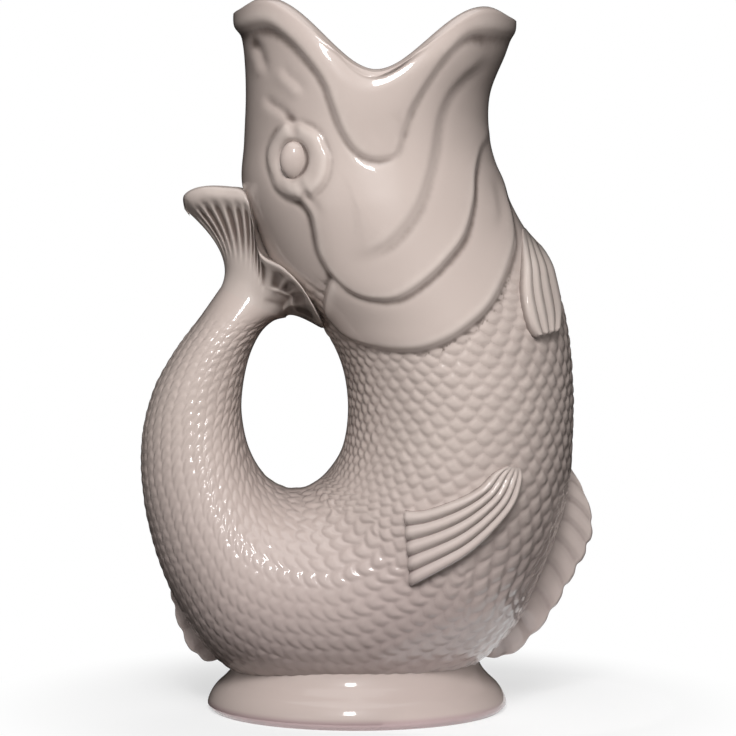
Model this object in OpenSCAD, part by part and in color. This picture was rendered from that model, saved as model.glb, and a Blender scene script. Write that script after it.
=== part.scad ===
// Gurgle jug: a fish that stands on its belly, with its mouth as the spout and its hollow
// tail curled up behind the head as the handle. Air trapped in the tail makes the gurgle.
// The frame stands on the table: +Z up, +X towards the belly, and Y across the fish.

/* [Overall] */
// Height from the table to the top of the upper lip
jug_h = 240; // [205:1:280]
// Length from the back of the tail to the front of the belly
jug_len = 147; // [126:1:170]
// Width across the belly
belly_w = 104; // [88:1:120]
// Thickness of the fired wall
wall = 4.5; // [3:0.5:6]

/* [Mouth] */
// Length of the mouth from lip tip to lip tip
mouth_len = 95; // [82:0.5:108]
// Width across the corners of the mouth
mouth_w = 92; // [78:1:106]
// Depth of the corners below the upper lip
mouth_dip = 25.5; // [18:0.5:32]
// How much lower the lower lip stands
lower_lip_drop = 3; // [0:0.5:6]
// How far each lip turns down at its tip
lip_droop = 3; // [1:0.5:5]
// Thickness of the rim
rim_t = 5; // [4:0.5:7]
// Height of the rounding on top of the rim
rim_round = 1.5; // [0.5:0.5:2.5]
// Thickness of the clay strips laid on as lips
lip_t = 1.6; // [1:0.1:2.5]

/* [Handle] */
// Width of the finger gap between tail and body
gap_w = 36; // [30:1:42]
// Height of the finger gap
gap_h = 58; // [48:1:69]
// Width across the tail where a hand grips it
tail_w = 41; // [34:1:48]

/* [Tail fin] */
// Half width of the free tip of the fin
fin_tip_half_w = 11; // [8:0.5:14]
// How far the fin stands proud of the back of the head
fin_grip = 3; // [2:0.25:5]
// Depth of the valleys between the rays
ray_depth = 1.6; // [0.5:0.1:2.5]
// Number of rays on each face
ray_count = 11; // [7:1:14]

/* [Face] */
// Thickness of the gill covers
gill_t = 1.8; // [1:0.1:3]
// Thickness of the cheek plates
cheek_t = 3; // [1.8:0.1:4]
// Length of an eyeball along the head
eyeball_h = 11.8; // [9:0.2:14]
// Width of an eyeball
eyeball_w = 9; // [7:0.2:11]
// Height that an eyeball stands out of the cheek
eyeball_out = 3.4; // [2.5:0.2:5]
// Width of the band that rings an eyeball
eye_band = 6; // [4:0.2:8]
// Thickness of the eye rings
eye_ring_t = 1.6; // [1:0.1:2.5]

/* [Side fins] */
// Length of a pectoral fin from root to tips
pectoral_len = 39; // [33:1:46]
// Height of a pectoral fin
pectoral_h = 40; // [34:1:47]
// Thickness of a pectoral fin between its rays
pectoral_t = 2.4; // [1.5:0.1:3.5]
// Height of the rays above a side fin
side_ray_t = 1.4; // [0.8:0.1:2.2]
// Number of rays on a pectoral fin
pectoral_rays = 5; // [4:1:6]
// Length of a pelvic fin
pelvic_h = 35.5; // [30:0.5:41]
// Width of a pelvic fin
pelvic_w = 13; // [10:0.5:16]
// Thickness of a pelvic fin
pelvic_t = 2.2; // [1.5:0.1:3.5]

/* [Keel fins] */
// How far the belly fin stands out of the belly
belly_fin_out = 11.5; // [8:0.5:14]
// How far the rear fin stands out
rear_fin_out = 5; // [3.5:0.5:6.5]
// Thickness of the keel fins at the body
keel_root_t = 9; // [6:0.5:12]
// Thickness of the keel fins at the edge
keel_edge_t = 3.2; // [2:0.2:4.5]
// Depth of the scallops round the edge of a keel fin
scallop = 0.8; // [0.2:0.1:1.4]

/* [Foot] */
// Length of the foot
foot_len = 102; // [89:1:115]
// Width of the foot
foot_w = 90; // [78:1:103]
// Height that the foot reaches up the belly
foot_h = 24; // [21:1:28]
// Width of the flat ring that the jug stands on
foot_ring = 6; // [4:0.5:8]
// Height of the small rounding at the bottom edge of the foot
foot_round = 1.8; // [1:0.2:3]

/* [Hidden] */

// Warm grey glaze, a shade darker on the fins
glaze = [0.74, 0.69, 0.66];
fin_glaze = [0.68, 0.63, 0.61];

// Points round each ring of the fish
around = 30;
// Line of slip left between a laid-on piece and its seat
slip = 0.15;
// Overrun of cuts that pass right through
overrun = 2;

// The belly fin passes the belly's front by this share of its own height
fin_over_share = 0.65;
// Where the jug starts in X, so that its box is centred on the origin
back_x = -(jug_len + belly_fin_out * fin_over_share) / 2;
// Centres of the mouth, the foot and the finger gap, as shares of the jug's length and height
mouth_at_share = 0.543;
foot_at_share = 0.5;
gap_at_shares = [0.3565, 0.4333];
mouth_x = back_x + mouth_at_share * jug_len;
foot_x = back_x + foot_at_share * jug_len;
gap_at = [back_x + gap_at_shares[0] * jug_len, gap_at_shares[1] * jug_h];

// A place in the side view, from shares of the jug's length and height
function place(share) = [back_x + share[0] * jug_len, share[1] * jug_h];
// A place on the head, from shares of half the mouth's length and of the jug's height
function by_mouth(share) = [mouth_x + share[0] * mouth_len / 2, share[1] * jug_h];
// A place on the cheek, from the same shares as a place in the side view. The cheek keeps its
// place by the mouth and is as long as the mouth makes it.
cheek_len_share = 1.5473684;
function on_cheek(share) =
    [mouth_x + (share[0] - mouth_at_share) * mouth_len * cheek_len_share, share[1] * jug_h];
// A place on the edge of the finger gap, from shares of half its width and height
function by_gap(share) = gap_at + [share[0] * gap_w, share[1] * gap_h] / 2;

function mix(a, b, t) = a + (b - a) * t;
function clamp(t) = max(0, min(1, t));
function ease(t) = let (k = clamp(t)) k * k * (3 - 2 * k);

// One smooth curve through a list of rows, read at any place along it
function curve(rows, t) =
    let (
        last = len(rows) - 1,
        i = max(0, min(floor(t), last - 1)),
        f = t - i,
        p0 = rows[max(i - 1, 0)],
        p1 = rows[i],
        p2 = rows[i + 1],
        p3 = rows[min(i + 2, last)]
    )
    (2 * p1 + (p2 - p0) * f + (2 * p0 - 5 * p1 + 4 * p2 - p3) * f * f
        + (3 * p1 - p0 - 3 * p2 + p3) * f * f * f) / 2;

// The same for a closed outline, with a number of steps between its points
function closed_curve(points, steps) =
    let (n = len(points), wrapped = concat([points[n - 1]], points, [points[0], points[1]]))
    [for (i = [1 : n], j = [0 : steps - 1]) curve(wrapped, i + j / steps)];

// The fish is drawn by stations from the mouth, down the belly, round and up the tail.
// Each has its point at the back or the gap, its point at the belly side, its width, how
// far the corners of the mouth sag, and how much of the lips' wave the ring has.
head_back_shares = [[-1, 0], [-0.94, 0.94], [-0.922, 0.876], [-0.935, 0.804], [-0.95, 0.744]];
head_front_shares = [[1, 0], [0.925, 0.93], [0.81, 0.869], [0.815, 0.804], [0.9, 0.75]];
head_width_shares = [1, 0.99, 0.967, 0.957, 0.967];
head_sag_shares = [0, 0.0664, 0.0536, 0.0357, 0.014];
head_wave_shares = [1, 0.8, 0.6, 0.4, 0.2];
neck_back_shares = [[0.267, 0.683], [0.327, 0.607]];
gap_edge_shares = [
    [0.49, 0.92], [0.868, 0.488], [1, -0.01], [0.906, -0.488], [0.604, -0.802],
    [0.264, -0.965], [0, -1], [-0.245, -0.977], [-0.585, -0.837], [-0.868, -0.535],
    [-1, -0.163], [-0.99, 0.163], [-0.868, 0.535], [-0.66, 0.814], [-0.415, 0.965],
    [-0.17, 1.01]
];
front_shares = [
    [0.871, 0.697], [0.94, 0.63], [0.982, 0.559], [0.998, 0.476], [1, 0.397],
    [0.988, 0.311], [0.942, 0.216], [0.83, 0.09], [0.61, 0.021], [0.38, 0.019],
    [0.189, 0.064], [0.074, 0.161], [0.014, 0.269], [0, 0.369], [0.025, 0.447],
    [0.081, 0.511], [0.143, 0.561], [0.187, 0.599]
];
belly_width_shares = [
    0.885, 0.923, 0.962, 0.99, 1, 1, 0.98, 0.942, 0.904, 0.846, 0.77, 0.655
];
tail_width_shares = [1.366, 1.146, 1, 0.878, 0.756, 0.66];

lip_z = [jug_h - rim_round, jug_h - rim_round - lower_lip_drop];
rim_sag = (lip_z[0] + lip_z[1]) / 2 - (jug_h - mouth_dip);

head_stations = [
    for (i = [0 : len(head_back_shares) - 1])
    let (back = by_mouth(head_back_shares[i]), front = by_mouth(head_front_shares[i]))
    [
        back[0], i == 0 ? lip_z[0] : back[1], front[0], i == 0 ? lip_z[1] : front[1],
        head_width_shares[i] * mouth_w / 2, i == 0 ? rim_sag : head_sag_shares[i] * jug_h / 2,
        head_wave_shares[i]
    ]
];
trunk_backs = concat(
    [for (share = neck_back_shares) place(share)],
    [for (share = gap_edge_shares) by_gap(share)]
);
trunk_widths = concat(belly_width_shares * belly_w, tail_width_shares * tail_w) / 2;
trunk_stations = [
    for (i = [0 : len(front_shares) - 1])
    let (back = trunk_backs[i], front = place(front_shares[i]))
    [back[0], back[1], front[0], front[1], trunk_widths[i], 0, 0]
];
stations = concat(head_stations, trunk_stations);

// Steps along the stations where the castings meet, and where the tail tube ends
neck_seam_step = 6;
tail_seam_step = 17;
tail_end_step = 22;

// The wave of a lip along the rim, from a corner of the mouth at 0 to the lip's tip at 1
lip_crest_share = 0.82;
function lip_wave(c) =
    ease(c / lip_crest_share)
    - lip_droop / mouth_dip * ease((c - lip_crest_share) / (1 - lip_crest_share));

// The point of the skin at a station and an angle from the belly side, grown outwards
function skin(t, a, grow = 0, rise = 0) =
    let (
        s = curve(stations, t),
        back = [s[0], s[1]],
        front = [s[2], s[3]],
        across = (front - back) / norm(front - back) * grow,
        middle = (back + front) / 2,
        c = abs(cos(a)),
        end = cos(a) > 0 ? front + across : back - across,
        wave = mix(c, lip_wave(c), s[6])
    )
    [
        mix(middle[0], end[0], c),
        (s[4] + grow) * sin(a),
        mix(middle[1] - s[5], end[1], wave) + rise
    ];

function ring(t, grow = 0, rise = 0) =
    [for (k = [0 : around - 1]) skin(t, k * 360 / around, grow, rise)];

// Triangles between ring i and ring j of n points each
function band(i, j, n) = [
    for (k = [0 : n - 1])
    let (m = (k + 1) % n)
    each [[i * n + k, i * n + m, j * n + m], [i * n + k, j * n + m, j * n + k]]
];

// A closed skin over rings that come back to the first, as a tube with a wall has
module looped(rings) {
    n = len(rings[0]);
    count = len(rings);
    polyhedron(
        points = [for (r = rings) each r],
        faces = [for (i = [0 : count - 1]) each band(i, (i + 1) % count, n)]
    );
}

// A closed skin over rings with a fan over each end
module capped(rings) {
    n = len(rings[0]);
    count = len(rings);
    first = [for (c = [0 : 2]) [for (p = rings[0]) p[c]] * [for (p = rings[0]) 1] / n];
    last = [for (c = [0 : 2]) [for (p = rings[count - 1]) p[c]] * [for (p = rings[0]) 1] / n];
    polyhedron(
        points = concat([for (r = rings) each r], [first, last]),
        faces = concat(
            [for (i = [0 : count - 2]) each band(i, i + 1, n)],
            [for (k = [0 : n - 1]) [count * n, (k + 1) % n, k]],
            [for (k = [0 : n - 1]) [count * n + 1, (count - 1) * n + k, (count - 1) * n + (k + 1) % n]]
        )
    );
}

// A length of the hollow fish between two stations, open at both ends
outer_step = 0.5;
inner_step = 1;
module casting(from, to) {
    looped(concat(
        [for (t = [from : outer_step : to]) ring(t)],
        [for (t = [to : -inner_step : from]) ring(t, -wall)]
    ));
}

// The solid fish with its skin grown outwards. Between the two stations of fade the growth
// swells from a feathered thickness to the full one, and above lifts a lid over the mouth.
feather = 0.6;
function grown(t, grow, fade) =
    fade[1] > fade[0] ? mix(feather, grow, ease((t - fade[0]) / (fade[1] - fade[0]))) : grow;

module solid_fish(grow, from = 0, fade = [0, 0], above = 0) {
    capped(concat(
        above > 0 ? [ring(from, grown(from, grow, fade), above)] : [],
        [for (t = [from : outer_step : tail_seam_step]) ring(t, grown(t, grow, fade))]
    ));
}

// Keeps a form that is cut to the sculpted skin as one faceted skin
module one_skin() {
    resize([0, 0, 0]) children();
}

// A plate laid on the right side of the fish, from an outline in the side view
module laid_on(height, fade = [0, 0]) {
    difference() {
        intersection() {
            solid_fish(height, fade = fade);
            rotate([90, 0, 0]) linear_extrude(belly_w) children();
        }
        solid_fish(slip);
    }
}

module left_of() {
    mirror([0, 1, 0]) children();
}

// Head and mouth
module head_shell() {
    color(glaze)
    looped(concat(
        [for (t = [0 : outer_step : neck_seam_step]) ring(t)],
        [for (t = [neck_seam_step : -inner_step : inner_step]) ring(t, -wall)],
        [ring(0, -rim_t), ring(0, -rim_t / 2, rim_round)]
    ));
}

// Belly, with the floor of the jug
module body_shell() {
    color(glaze) casting(neck_seam_step, tail_seam_step);
}

// Hollow tail that is also the handle
module tail_tube() {
    color(glaze) casting(tail_seam_step, tail_end_step);
}

// Tail fin: a forked fan that flares from the end of the tail and grips the back of the head.
// Its edge runs from the free tip over the top, down the back of the head and round the
// lower lobe. Each row is a place in the side view with its half width, in shares of the
// tip's half width and of the head's width.
fin_tip_shares = [
    [0.101, 0.722, 0], [0.115, 0.734, 0.55], [0.154, 0.74, 0.9], [0.203, 0.74, 1.08]
];
fin_grip_shares = [
    [0.245, 0.733, 0.22], [0.263, 0.697, 0.26], [0.281, 0.65, 0.27], [0.334, 0.63, 0.41],
    [0.373, 0.607, 0.51], [0.405, 0.576, 0.54], [0.424, 0.547, 0.34], [0.412, 0.542, 0]
];
fin_edge = concat(
    [for (p = fin_tip_shares) concat(place(p), [p[2] * fin_tip_half_w])],
    [for (p = fin_grip_shares) concat(place(p), [p[2] > 0 ? p[2] * belly_w / 2 + fin_grip : 0])]
);
// Half turns of the fan, from the tip at 0 to the lower end at 1
fin_steps = 28;
fin_level_shares = [0, 0.12, 0.26, 0.42, 0.58, 0.74, 0.86, 0.94, 1];
fin_bead_shares = [0, 0, 0, 0, 0, 0, 0.4, 1, 0.6];
fin_bead = 0.9;
fin_neck_share = 0.8;
stem_pull_share = 0.42;
// The lower lobe leaves the stem more sharply, and the rays fade out towards both ends
lower_lobe_share = 0.8;
lower_pull_share = 0.6;
ray_end_share = 0.33;

function fin_point(level, k) =
    let (
        turn = k <= fin_steps ? k / fin_steps : 2 - k / fin_steps,
        side = k <= fin_steps ? 1 : -1,
        root = skin(tail_end_step, side * 180 * turn),
        edge = curve(fin_edge, turn * (len(fin_edge) - 1)),
        rim = [edge[0], side * max(0, edge[2]), edge[1]],
        stem_end = curve(stations, tail_end_step),
        along = [stem_end[1] - stem_end[3], 0, stem_end[2] - stem_end[0]],
        reach = norm(rim - root) * stem_pull_share,
        bend = root - along / norm(along) * reach * (turn > lower_lobe_share ? lower_pull_share : 1),
        pull = [bend[0], root[1] * fin_neck_share, bend[2]],
        v = fin_level_shares[level],
        p = root * (1 - v) * (1 - v) + pull * 2 * v * (1 - v) + rim * v * v,
        valley = ray_depth * (1 - cos(360 * ray_count * turn)) / 2
            * ease(v / fin_level_shares[3])
            * (1 - ease((v - fin_level_shares[5]) / (fin_level_shares[7] - fin_level_shares[5]))),
        swell = fin_bead * fin_bead_shares[level] - valley
    )
    p + [0, side * swell * ease(sin(180 * turn) / ray_end_share), 0];

module tail_fin_blank() {
    points_round = 2 * fin_steps;
    levels = len(fin_level_shares);
    trough = fin_grip;
    heart = skin(tail_end_step, 90);
    rows = [for (i = [0 : levels - 1]) [for (k = [0 : points_round - 1]) fin_point(i, k)]];
    // A line down the middle of the edge, sunk a little so that the edge is a trough
    spine = [
        for (k = [1 : fin_steps - 1])
        let (p = rows[levels - 1][k], inwards = [heart[0] - p[0], 0, heart[2] - p[2]])
        [p[0], 0, p[2]] + inwards / norm(inwards) * trough
    ];
    near = (levels - 1) * points_round;
    spine_at = levels * points_round;
    polyhedron(
        points = concat([for (r = rows) each r], spine, [[heart[0], 0, heart[2]]]),
        faces = concat(
            [for (i = [0 : levels - 2]) each band(i, i + 1, points_round)],
            [for (k = [0 : points_round - 1]) [spine_at + fin_steps - 1, (k + 1) % points_round, k]],
            [for (k = [1 : fin_steps - 2]) each [
                [near + k, near + k + 1, spine_at + k],
                [near + k, spine_at + k, spine_at + k - 1],
                [near + points_round - k - 1, near + points_round - k, spine_at + k - 1],
                [near + points_round - k - 1, spine_at + k - 1, spine_at + k]
            ]],
            [
                [near, near + 1, spine_at],
                [near, spine_at, near + points_round - 1],
                [near + fin_steps - 1, near + fin_steps, spine_at + fin_steps - 2],
                [near + fin_steps, near + fin_steps + 1, spine_at + fin_steps - 2]
            ]
        )
    );
}

module tail_fin() {
    color(fin_glaze)
    one_skin()
    difference() {
        tail_fin_blank();
        solid_fish(slip);
    }
}

// Foot: a flared oval skirt whose top edge is cut to the belly and whose bottom is ground flat
foot_profile_shares = [
    [0.972, 0], [1, 0.075], [0.985, 0.2], [0.945, 0.33], [0.885, 0.45], [0.835, 0.58],
    [0.805, 0.75], [0.79, 1]
];
function foot_ring_at(share, z, inset) = [
    for (k = [0 : around - 1])
    let (a = k * 360 / around)
    [
        foot_x + (share * foot_len / 2 - inset) * cos(a),
        (share * foot_w / 2 - inset) * sin(a),
        z
    ]
];

// The station above which no belly meets the foot
foot_cut_from = 8;

module foot() {
    shares = foot_profile_shares;
    last = len(shares) - 1;
    hollow = foot_ring - foot_round;
    color(glaze)
    one_skin()
    difference() {
        looped(concat(
            [for (i = [last : -1 : 0]) foot_ring_at(shares[i][0], shares[i][1] * foot_h, 0)],
            [foot_ring_at(shares[0][0], 0, foot_ring)],
            [for (i = [2 : last]) foot_ring_at(shares[i][0], shares[i][1] * foot_h, hollow)]
        ));
        solid_fish(slip, from = foot_cut_from);
    }
}

// Lips: strips of clay round the rim, with the upper one's ends hanging over the corners
lip_corner_share = 0.23;
upper_lip_shares = [
    [-0.915, 0.958], [-0.74, 0.96], [-0.595, 0.94], [-0.457, 0.91], [-0.353, 0.88],
    [-0.297, 0.85], [-0.23, 0.815], [-0.127, 0.786], [0.003, 0.775], [0.126, 0.782],
    [0.168, 0.802], [0.165, 0.828], [0.175, 0.85]
];
lower_lip_shares = [
    [0.88, 0.951], [0.64, 0.946], [0.485, 0.92], [0.38, 0.893], [0.277, 0.86], [0.202, 0.829],
    [0.17, 0.845]
];
lip_steps = 2;
lip_over_share = 1.2;

// The side view of a lip: all that lies above its lower edge, from its tip to the corner
module lip_outline(edge_shares, side) {
    edge = [for (share = edge_shares) by_mouth(share)];
    smooth_edge = [for (i = [0 : (len(edge) - 1) * lip_steps]) curve(edge, i / lip_steps)];
    tip_x = mouth_x + side * lip_over_share * mouth_len / 2;
    corner_x = mouth_x + lip_corner_share * mouth_len / 2 + side * slip / 2;
    top = jug_h + overrun;
    polygon(concat([[tip_x, smooth_edge[0][1]]], smooth_edge, [[corner_x, top], [tip_x, top]]));
}

module lip(edge_shares, side) {
    difference() {
        intersection() {
            solid_fish(lip_t);
            rotate([90, 0, 0]) linear_extrude(2 * belly_w, center = true) lip_outline(edge_shares, side);
        }
        solid_fish(slip, above = overrun);
    }
}

module upper_lip() {
    color(glaze) one_skin() lip(upper_lip_shares, -1);
}

module lower_lip() {
    color(glaze)
    one_skin()
    difference() {
        lip(lower_lip_shares, 1);
        rotate([90, 0, 0])
        linear_extrude(2 * belly_w, center = true)
        offset(delta = slip) lip_outline(upper_lip_shares, -1);
    }
}

// Gill cover and cheek: two plates that step down from the face to the scales
gill_shares = [
    [0.825, 0.765], [0.842, 0.72], [0.853, 0.676], [0.843, 0.644], [0.817, 0.605],
    [0.787, 0.576], [0.742, 0.552], [0.698, 0.535], [0.643, 0.523], [0.59, 0.521],
    [0.52, 0.527], [0.479, 0.537], [0.452, 0.552], [0.432, 0.576], [0.47, 0.64],
    [0.6, 0.72], [0.74, 0.77]
];
cheek_shares = [
    [0.795, 0.82], [0.776, 0.79], [0.761, 0.757], [0.755, 0.716], [0.738, 0.674],
    [0.708, 0.646], [0.658, 0.614], [0.597, 0.59], [0.538, 0.589], [0.489, 0.601],
    [0.451, 0.622], [0.422, 0.651], [0.411, 0.682], [0.4, 0.705], [0.375, 0.722],
    [0.345, 0.74], [0.345, 0.8], [0.42, 0.84], [0.56, 0.85], [0.7, 0.845]
];
outline_steps = 2;
gill_fade_steps = [3.4, 5];
cheek_fade_steps = [2.2, 4.6];

module gill_outline() {
    polygon(closed_curve([for (share = gill_shares) place(share)], outline_steps));
}

module cheek_outline() {
    polygon(closed_curve([for (share = cheek_shares) on_cheek(share)], outline_steps));
}

module gill_cover() {
    color(glaze)
    one_skin()
    laid_on(gill_t, gill_fade_steps)
    difference() {
        gill_outline();
        offset(delta = slip) cheek_outline();
    }
}

// Eye: a domed eyeball inside a ring of clay, both seated on the cheek
eye_share = [0.363, 0.777];
eye_at = on_cheek(eye_share);
eye_seat_step = 3.28;
eye_seat_angle = -126;
eye_sides = 20;
module eye_oval(more) {
    translate(eye_at)
    resize([eyeball_w + 2 * more, eyeball_h + 2 * more])
    circle(d = eyeball_h, $fn = eye_sides);
}

module cheek_plate() {
    color(glaze)
    one_skin()
    laid_on(cheek_t, cheek_fade_steps)
    difference() {
        cheek_outline();
        eye_oval(eye_band + slip);
        offset(delta = slip) lip_outline(upper_lip_shares, -1);
        offset(delta = slip) lip_outline(lower_lip_shares, 1);
    }
}

module eye_ring() {
    color(glaze)
    one_skin()
    laid_on(eye_ring_t + slip)
    difference() {
        eye_oval(eye_band);
        eye_oval(slip);
    }
}

module eyeball() {
    // The skin under the eyeball, where its middle sits
    seat = skin(eye_seat_step, eye_seat_angle);
    color(glaze)
    one_skin()
    difference() {
        translate([eye_at[0], seat[1], eye_at[1]])
        resize([eyeball_w, 2 * eyeball_out, eyeball_h])
        sphere(d = eyeball_h, $fn = eye_sides);
        solid_fish(slip);
    }
}

// Pectoral fin: a fan of curved rays, with its root up by the belly and its tips at the back
pectoral_at = place([0.735, 0.28]);
pectoral_edge_shares = [
    [0.256, 0.465], [0.13, 0.35], [-0.036, 0.26], [-0.318, 0.16], [-0.48, 0.15], [-0.5, 0],
    [-0.49, -0.16], [-0.485, -0.32], [-0.44, -0.48], [-0.177, -0.33], [0.038, -0.195],
    [0.256, 0.01], [0.41, 0.21], [0.485, 0.405], [0.48, 0.49], [0.375, 0.51]
];
pectoral_root_share = [0.43, 0.45];
pectoral_tip_shares = [[-0.48, 0.13], [-0.44, -0.46]];
pectoral_bow_share = 0.16;
// Width of a ray at its root and tip, as shares of the distance between the tips
pectoral_ray_shares = [0.25, 0.6];
pectoral_ray_steps = 3;
function on_pectoral(share) = pectoral_at + [share[0] * pectoral_len, share[1] * pectoral_h];

// One ray, as a band that bows downwards and goes from one width at the root to one at the tip
module ray(root, tip, bow, widths, steps) {
    across = [root[1] - tip[1], tip[0] - root[0]] / norm(tip - root);
    middle = [for (i = [0 : steps]) mix(root, tip, i / steps) + across * bow * sin(180 * i / steps)];
    half = [for (i = [0 : steps]) across * mix(widths[0], widths[1], i / steps) / 2];
    polygon(concat(
        [for (i = [0 : steps]) middle[i] + half[i]],
        [for (i = [steps : -1 : 0]) middle[i] - half[i]]
    ));
}

module pectoral_fin() {
    gap = (pectoral_tip_shares[0] - pectoral_tip_shares[1]) / pectoral_rays;
    ray_w = pectoral_ray_shares * gap[1] * pectoral_h;
    color(fin_glaze)
    one_skin() {
        laid_on(pectoral_t)
        polygon([for (share = pectoral_edge_shares) on_pectoral(share)]);
        laid_on(pectoral_t + side_ray_t)
        for (i = [0 : pectoral_rays - 1]) {
            tip = pectoral_tip_shares[1] + gap * (i + 1 / 2);
            ray(on_pectoral(pectoral_root_share), on_pectoral(tip),
                pectoral_len * pectoral_bow_share, ray_w, pectoral_ray_steps);
        }
    }
}

// Pelvic fin: a narrow leaf that lies along the front of the belly
pelvic_at = place([0.9075, 0.607]);
pelvic_edge_shares = [
    [-0.35, 0.5], [-0.45, 0.22], [-0.49, -0.1], [-0.35, -0.36], [-0.16, -0.49], [0.19, -0.49],
    [0.415, -0.42], [0.5, -0.23], [0.41, 0], [0.25, 0.23], [0, 0.5]
];
pelvic_root_share = [-0.22, 0.3];
pelvic_tip_shares = [[-0.27, -0.38], [0.03, -0.38], [0.32, -0.38]];
pelvic_ray_shares = [0.05, 0.14];
function on_pelvic(share) = pelvic_at + [share[0] * pelvic_w, share[1] * pelvic_h];

module pelvic_fin() {
    color(fin_glaze)
    one_skin() {
        laid_on(pelvic_t)
        polygon([for (share = pelvic_edge_shares) on_pelvic(share)]);
        laid_on(pelvic_t + side_ray_t / 2)
        for (share = pelvic_tip_shares) {
            ray(on_pelvic(pelvic_root_share), on_pelvic(share), 0, pelvic_ray_shares * pelvic_w, 1);
        }
    }
}

// Keel fin: a thin fan along the outer line of the fish, with swept rays and a scalloped edge.
// Both its ends run out below the skin of the fish.
steps_in_ray = 4;
keel_level_shares = [0, 0.3, 0.6, 0.85, 1];
keel_seat_share = 0.6;
keel_round_share = 0.5;
look_ahead_step = 0.05;
module keel(span, out, height_shares, lean, rays) {
    root_in = wall * keel_seat_share;
    steps = rays * steps_in_ray;
    levels = len(keel_level_shares);
    rows = [
        for (i = [0 : steps])
        let (
            u = i / steps,
            t = mix(span[0], span[1], u),
            s = curve(stations, t),
            ahead = curve(stations, t + look_ahead_step),
            along = [ahead[2] - s[2], ahead[3] - s[3]],
            forward = along / norm(along),
            outwards = [-forward[1], forward[0]],
            wave = (1 - cos(360 * rays * u)) / 2,
            height = out * curve(height_shares, u * (len(height_shares) - 1)) - scallop * wave
        )
        [
            for (v = keel_level_shares)
            let (
                p = [s[2], s[3]] - outwards * root_in
                    + (outwards + forward * lean * v) * (height + root_in) * v,
                groove = v > 0 && v < 1 ? scallop * wave : 0,
                half = (mix(keel_root_t, keel_edge_t, ease(v)) - groove) / 2
            )
            [p[0], p[1], v == 1 ? half * keel_round_share : half]
        ]
    ];
    capped([
        for (row = rows)
        concat(
            [for (j = [0 : levels - 1]) [row[j][0], -row[j][2], row[j][1]]],
            [for (j = [levels - 1 : -1 : 0]) [row[j][0], row[j][2], row[j][1]]]
        )
    ]);
}

// Steps where each keel fin starts and ends, its height along them, how far its rays
// sweep, and how many it has
belly_fin_steps = [9.5, 12.25];
belly_fin_shares = [-0.15, 0.55, 0.95, 1, 0.95, 0.88, 0.78, 0.62, 0.4, -0.15];
belly_fin_lean_share = 0.55;
belly_fin_rays = 9;
rear_fin_steps = [15.02, 16.2];
rear_fin_shares = [-0.3, 0.7, 1, 0.95, 0.75, 0.5, 0.2, -0.3];
rear_fin_lean_share = -0.2;
rear_fin_rays = 4;

// Cuts a keel fin to what carries it: the skin of the fish and the top of the foot
module seated() {
    difference() {
        children();
        solid_fish(slip, from = foot_cut_from);
        foot_keep_out();
    }
}

module belly_fin() {
    color(fin_glaze)
    one_skin()
    seated()
    keel(belly_fin_steps, belly_fin_out, belly_fin_shares, belly_fin_lean_share, belly_fin_rays);
}

module rear_fin() {
    color(fin_glaze)
    one_skin()
    seated()
    keel(rear_fin_steps, rear_fin_out, rear_fin_shares, rear_fin_lean_share, rear_fin_rays);
}

// The outside of the foot, grown by the slip line, for what meets it
module foot_keep_out() {
    shares = foot_profile_shares;
    capped([
        for (i = [len(shares) - 1 : -1 : 0]) foot_ring_at(shares[i][0], shares[i][1] * foot_h, -slip)
    ]);
}

head_shell();
body_shell();
tail_tube();
tail_fin();
foot();
upper_lip();
lower_lip();
gill_cover();  // gill_cover_right
left_of() gill_cover();  // gill_cover_left
cheek_plate();  // cheek_plate_right
left_of() cheek_plate();  // cheek_plate_left
eye_ring();  // eye_ring_right
left_of() eye_ring();  // eye_ring_left
eyeball();  // eyeball_right
left_of() eyeball();  // eyeball_left
pectoral_fin();  // pectoral_fin_right
left_of() pectoral_fin();  // pectoral_fin_left
pelvic_fin();  // pelvic_fin_right
left_of() pelvic_fin();  // pelvic_fin_left
belly_fin();
rear_fin();
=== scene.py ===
"""Looks of a glazed pottery gurgle jug: an upright fish whose hollow tail is its handle.

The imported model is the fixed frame. Every surface here is worked out with numpy from the same
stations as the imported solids, in millimetres, and goes into its mesh in metres.
"""
import logging
import math
from dataclasses import dataclass
from enum import Enum
from functools import cached_property

import bpy
import numpy as np
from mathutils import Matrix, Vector


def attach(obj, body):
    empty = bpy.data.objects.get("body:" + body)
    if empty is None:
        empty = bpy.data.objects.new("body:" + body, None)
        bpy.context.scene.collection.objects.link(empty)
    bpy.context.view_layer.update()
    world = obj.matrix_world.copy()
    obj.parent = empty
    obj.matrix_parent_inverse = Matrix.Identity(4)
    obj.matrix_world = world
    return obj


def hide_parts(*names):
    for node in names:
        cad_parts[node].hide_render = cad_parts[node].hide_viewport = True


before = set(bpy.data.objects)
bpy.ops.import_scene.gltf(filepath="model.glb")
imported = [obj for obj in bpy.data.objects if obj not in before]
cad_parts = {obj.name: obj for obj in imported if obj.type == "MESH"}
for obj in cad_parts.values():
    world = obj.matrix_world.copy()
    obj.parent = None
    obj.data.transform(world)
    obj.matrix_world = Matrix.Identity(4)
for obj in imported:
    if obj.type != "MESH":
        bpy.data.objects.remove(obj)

LOG = logging.getLogger("gurgle_jug")
MM = 0.001
BODY = "root"
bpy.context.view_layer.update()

# The stations of the fish, as shares of the sizes in FishForm: places at the back or the gap and
# at the belly side, widths, how far the corners of the mouth sag, and the share of the lips' wave.
HEAD_BACK_SHARES = ((-1, 0), (-0.94, 0.94), (-0.922, 0.876), (-0.935, 0.804), (-0.95, 0.744))
HEAD_FRONT_SHARES = ((1, 0), (0.925, 0.93), (0.81, 0.869), (0.815, 0.804), (0.9, 0.75))
HEAD_WIDTH_SHARES = (1, 0.99, 0.967, 0.957, 0.967)
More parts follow.
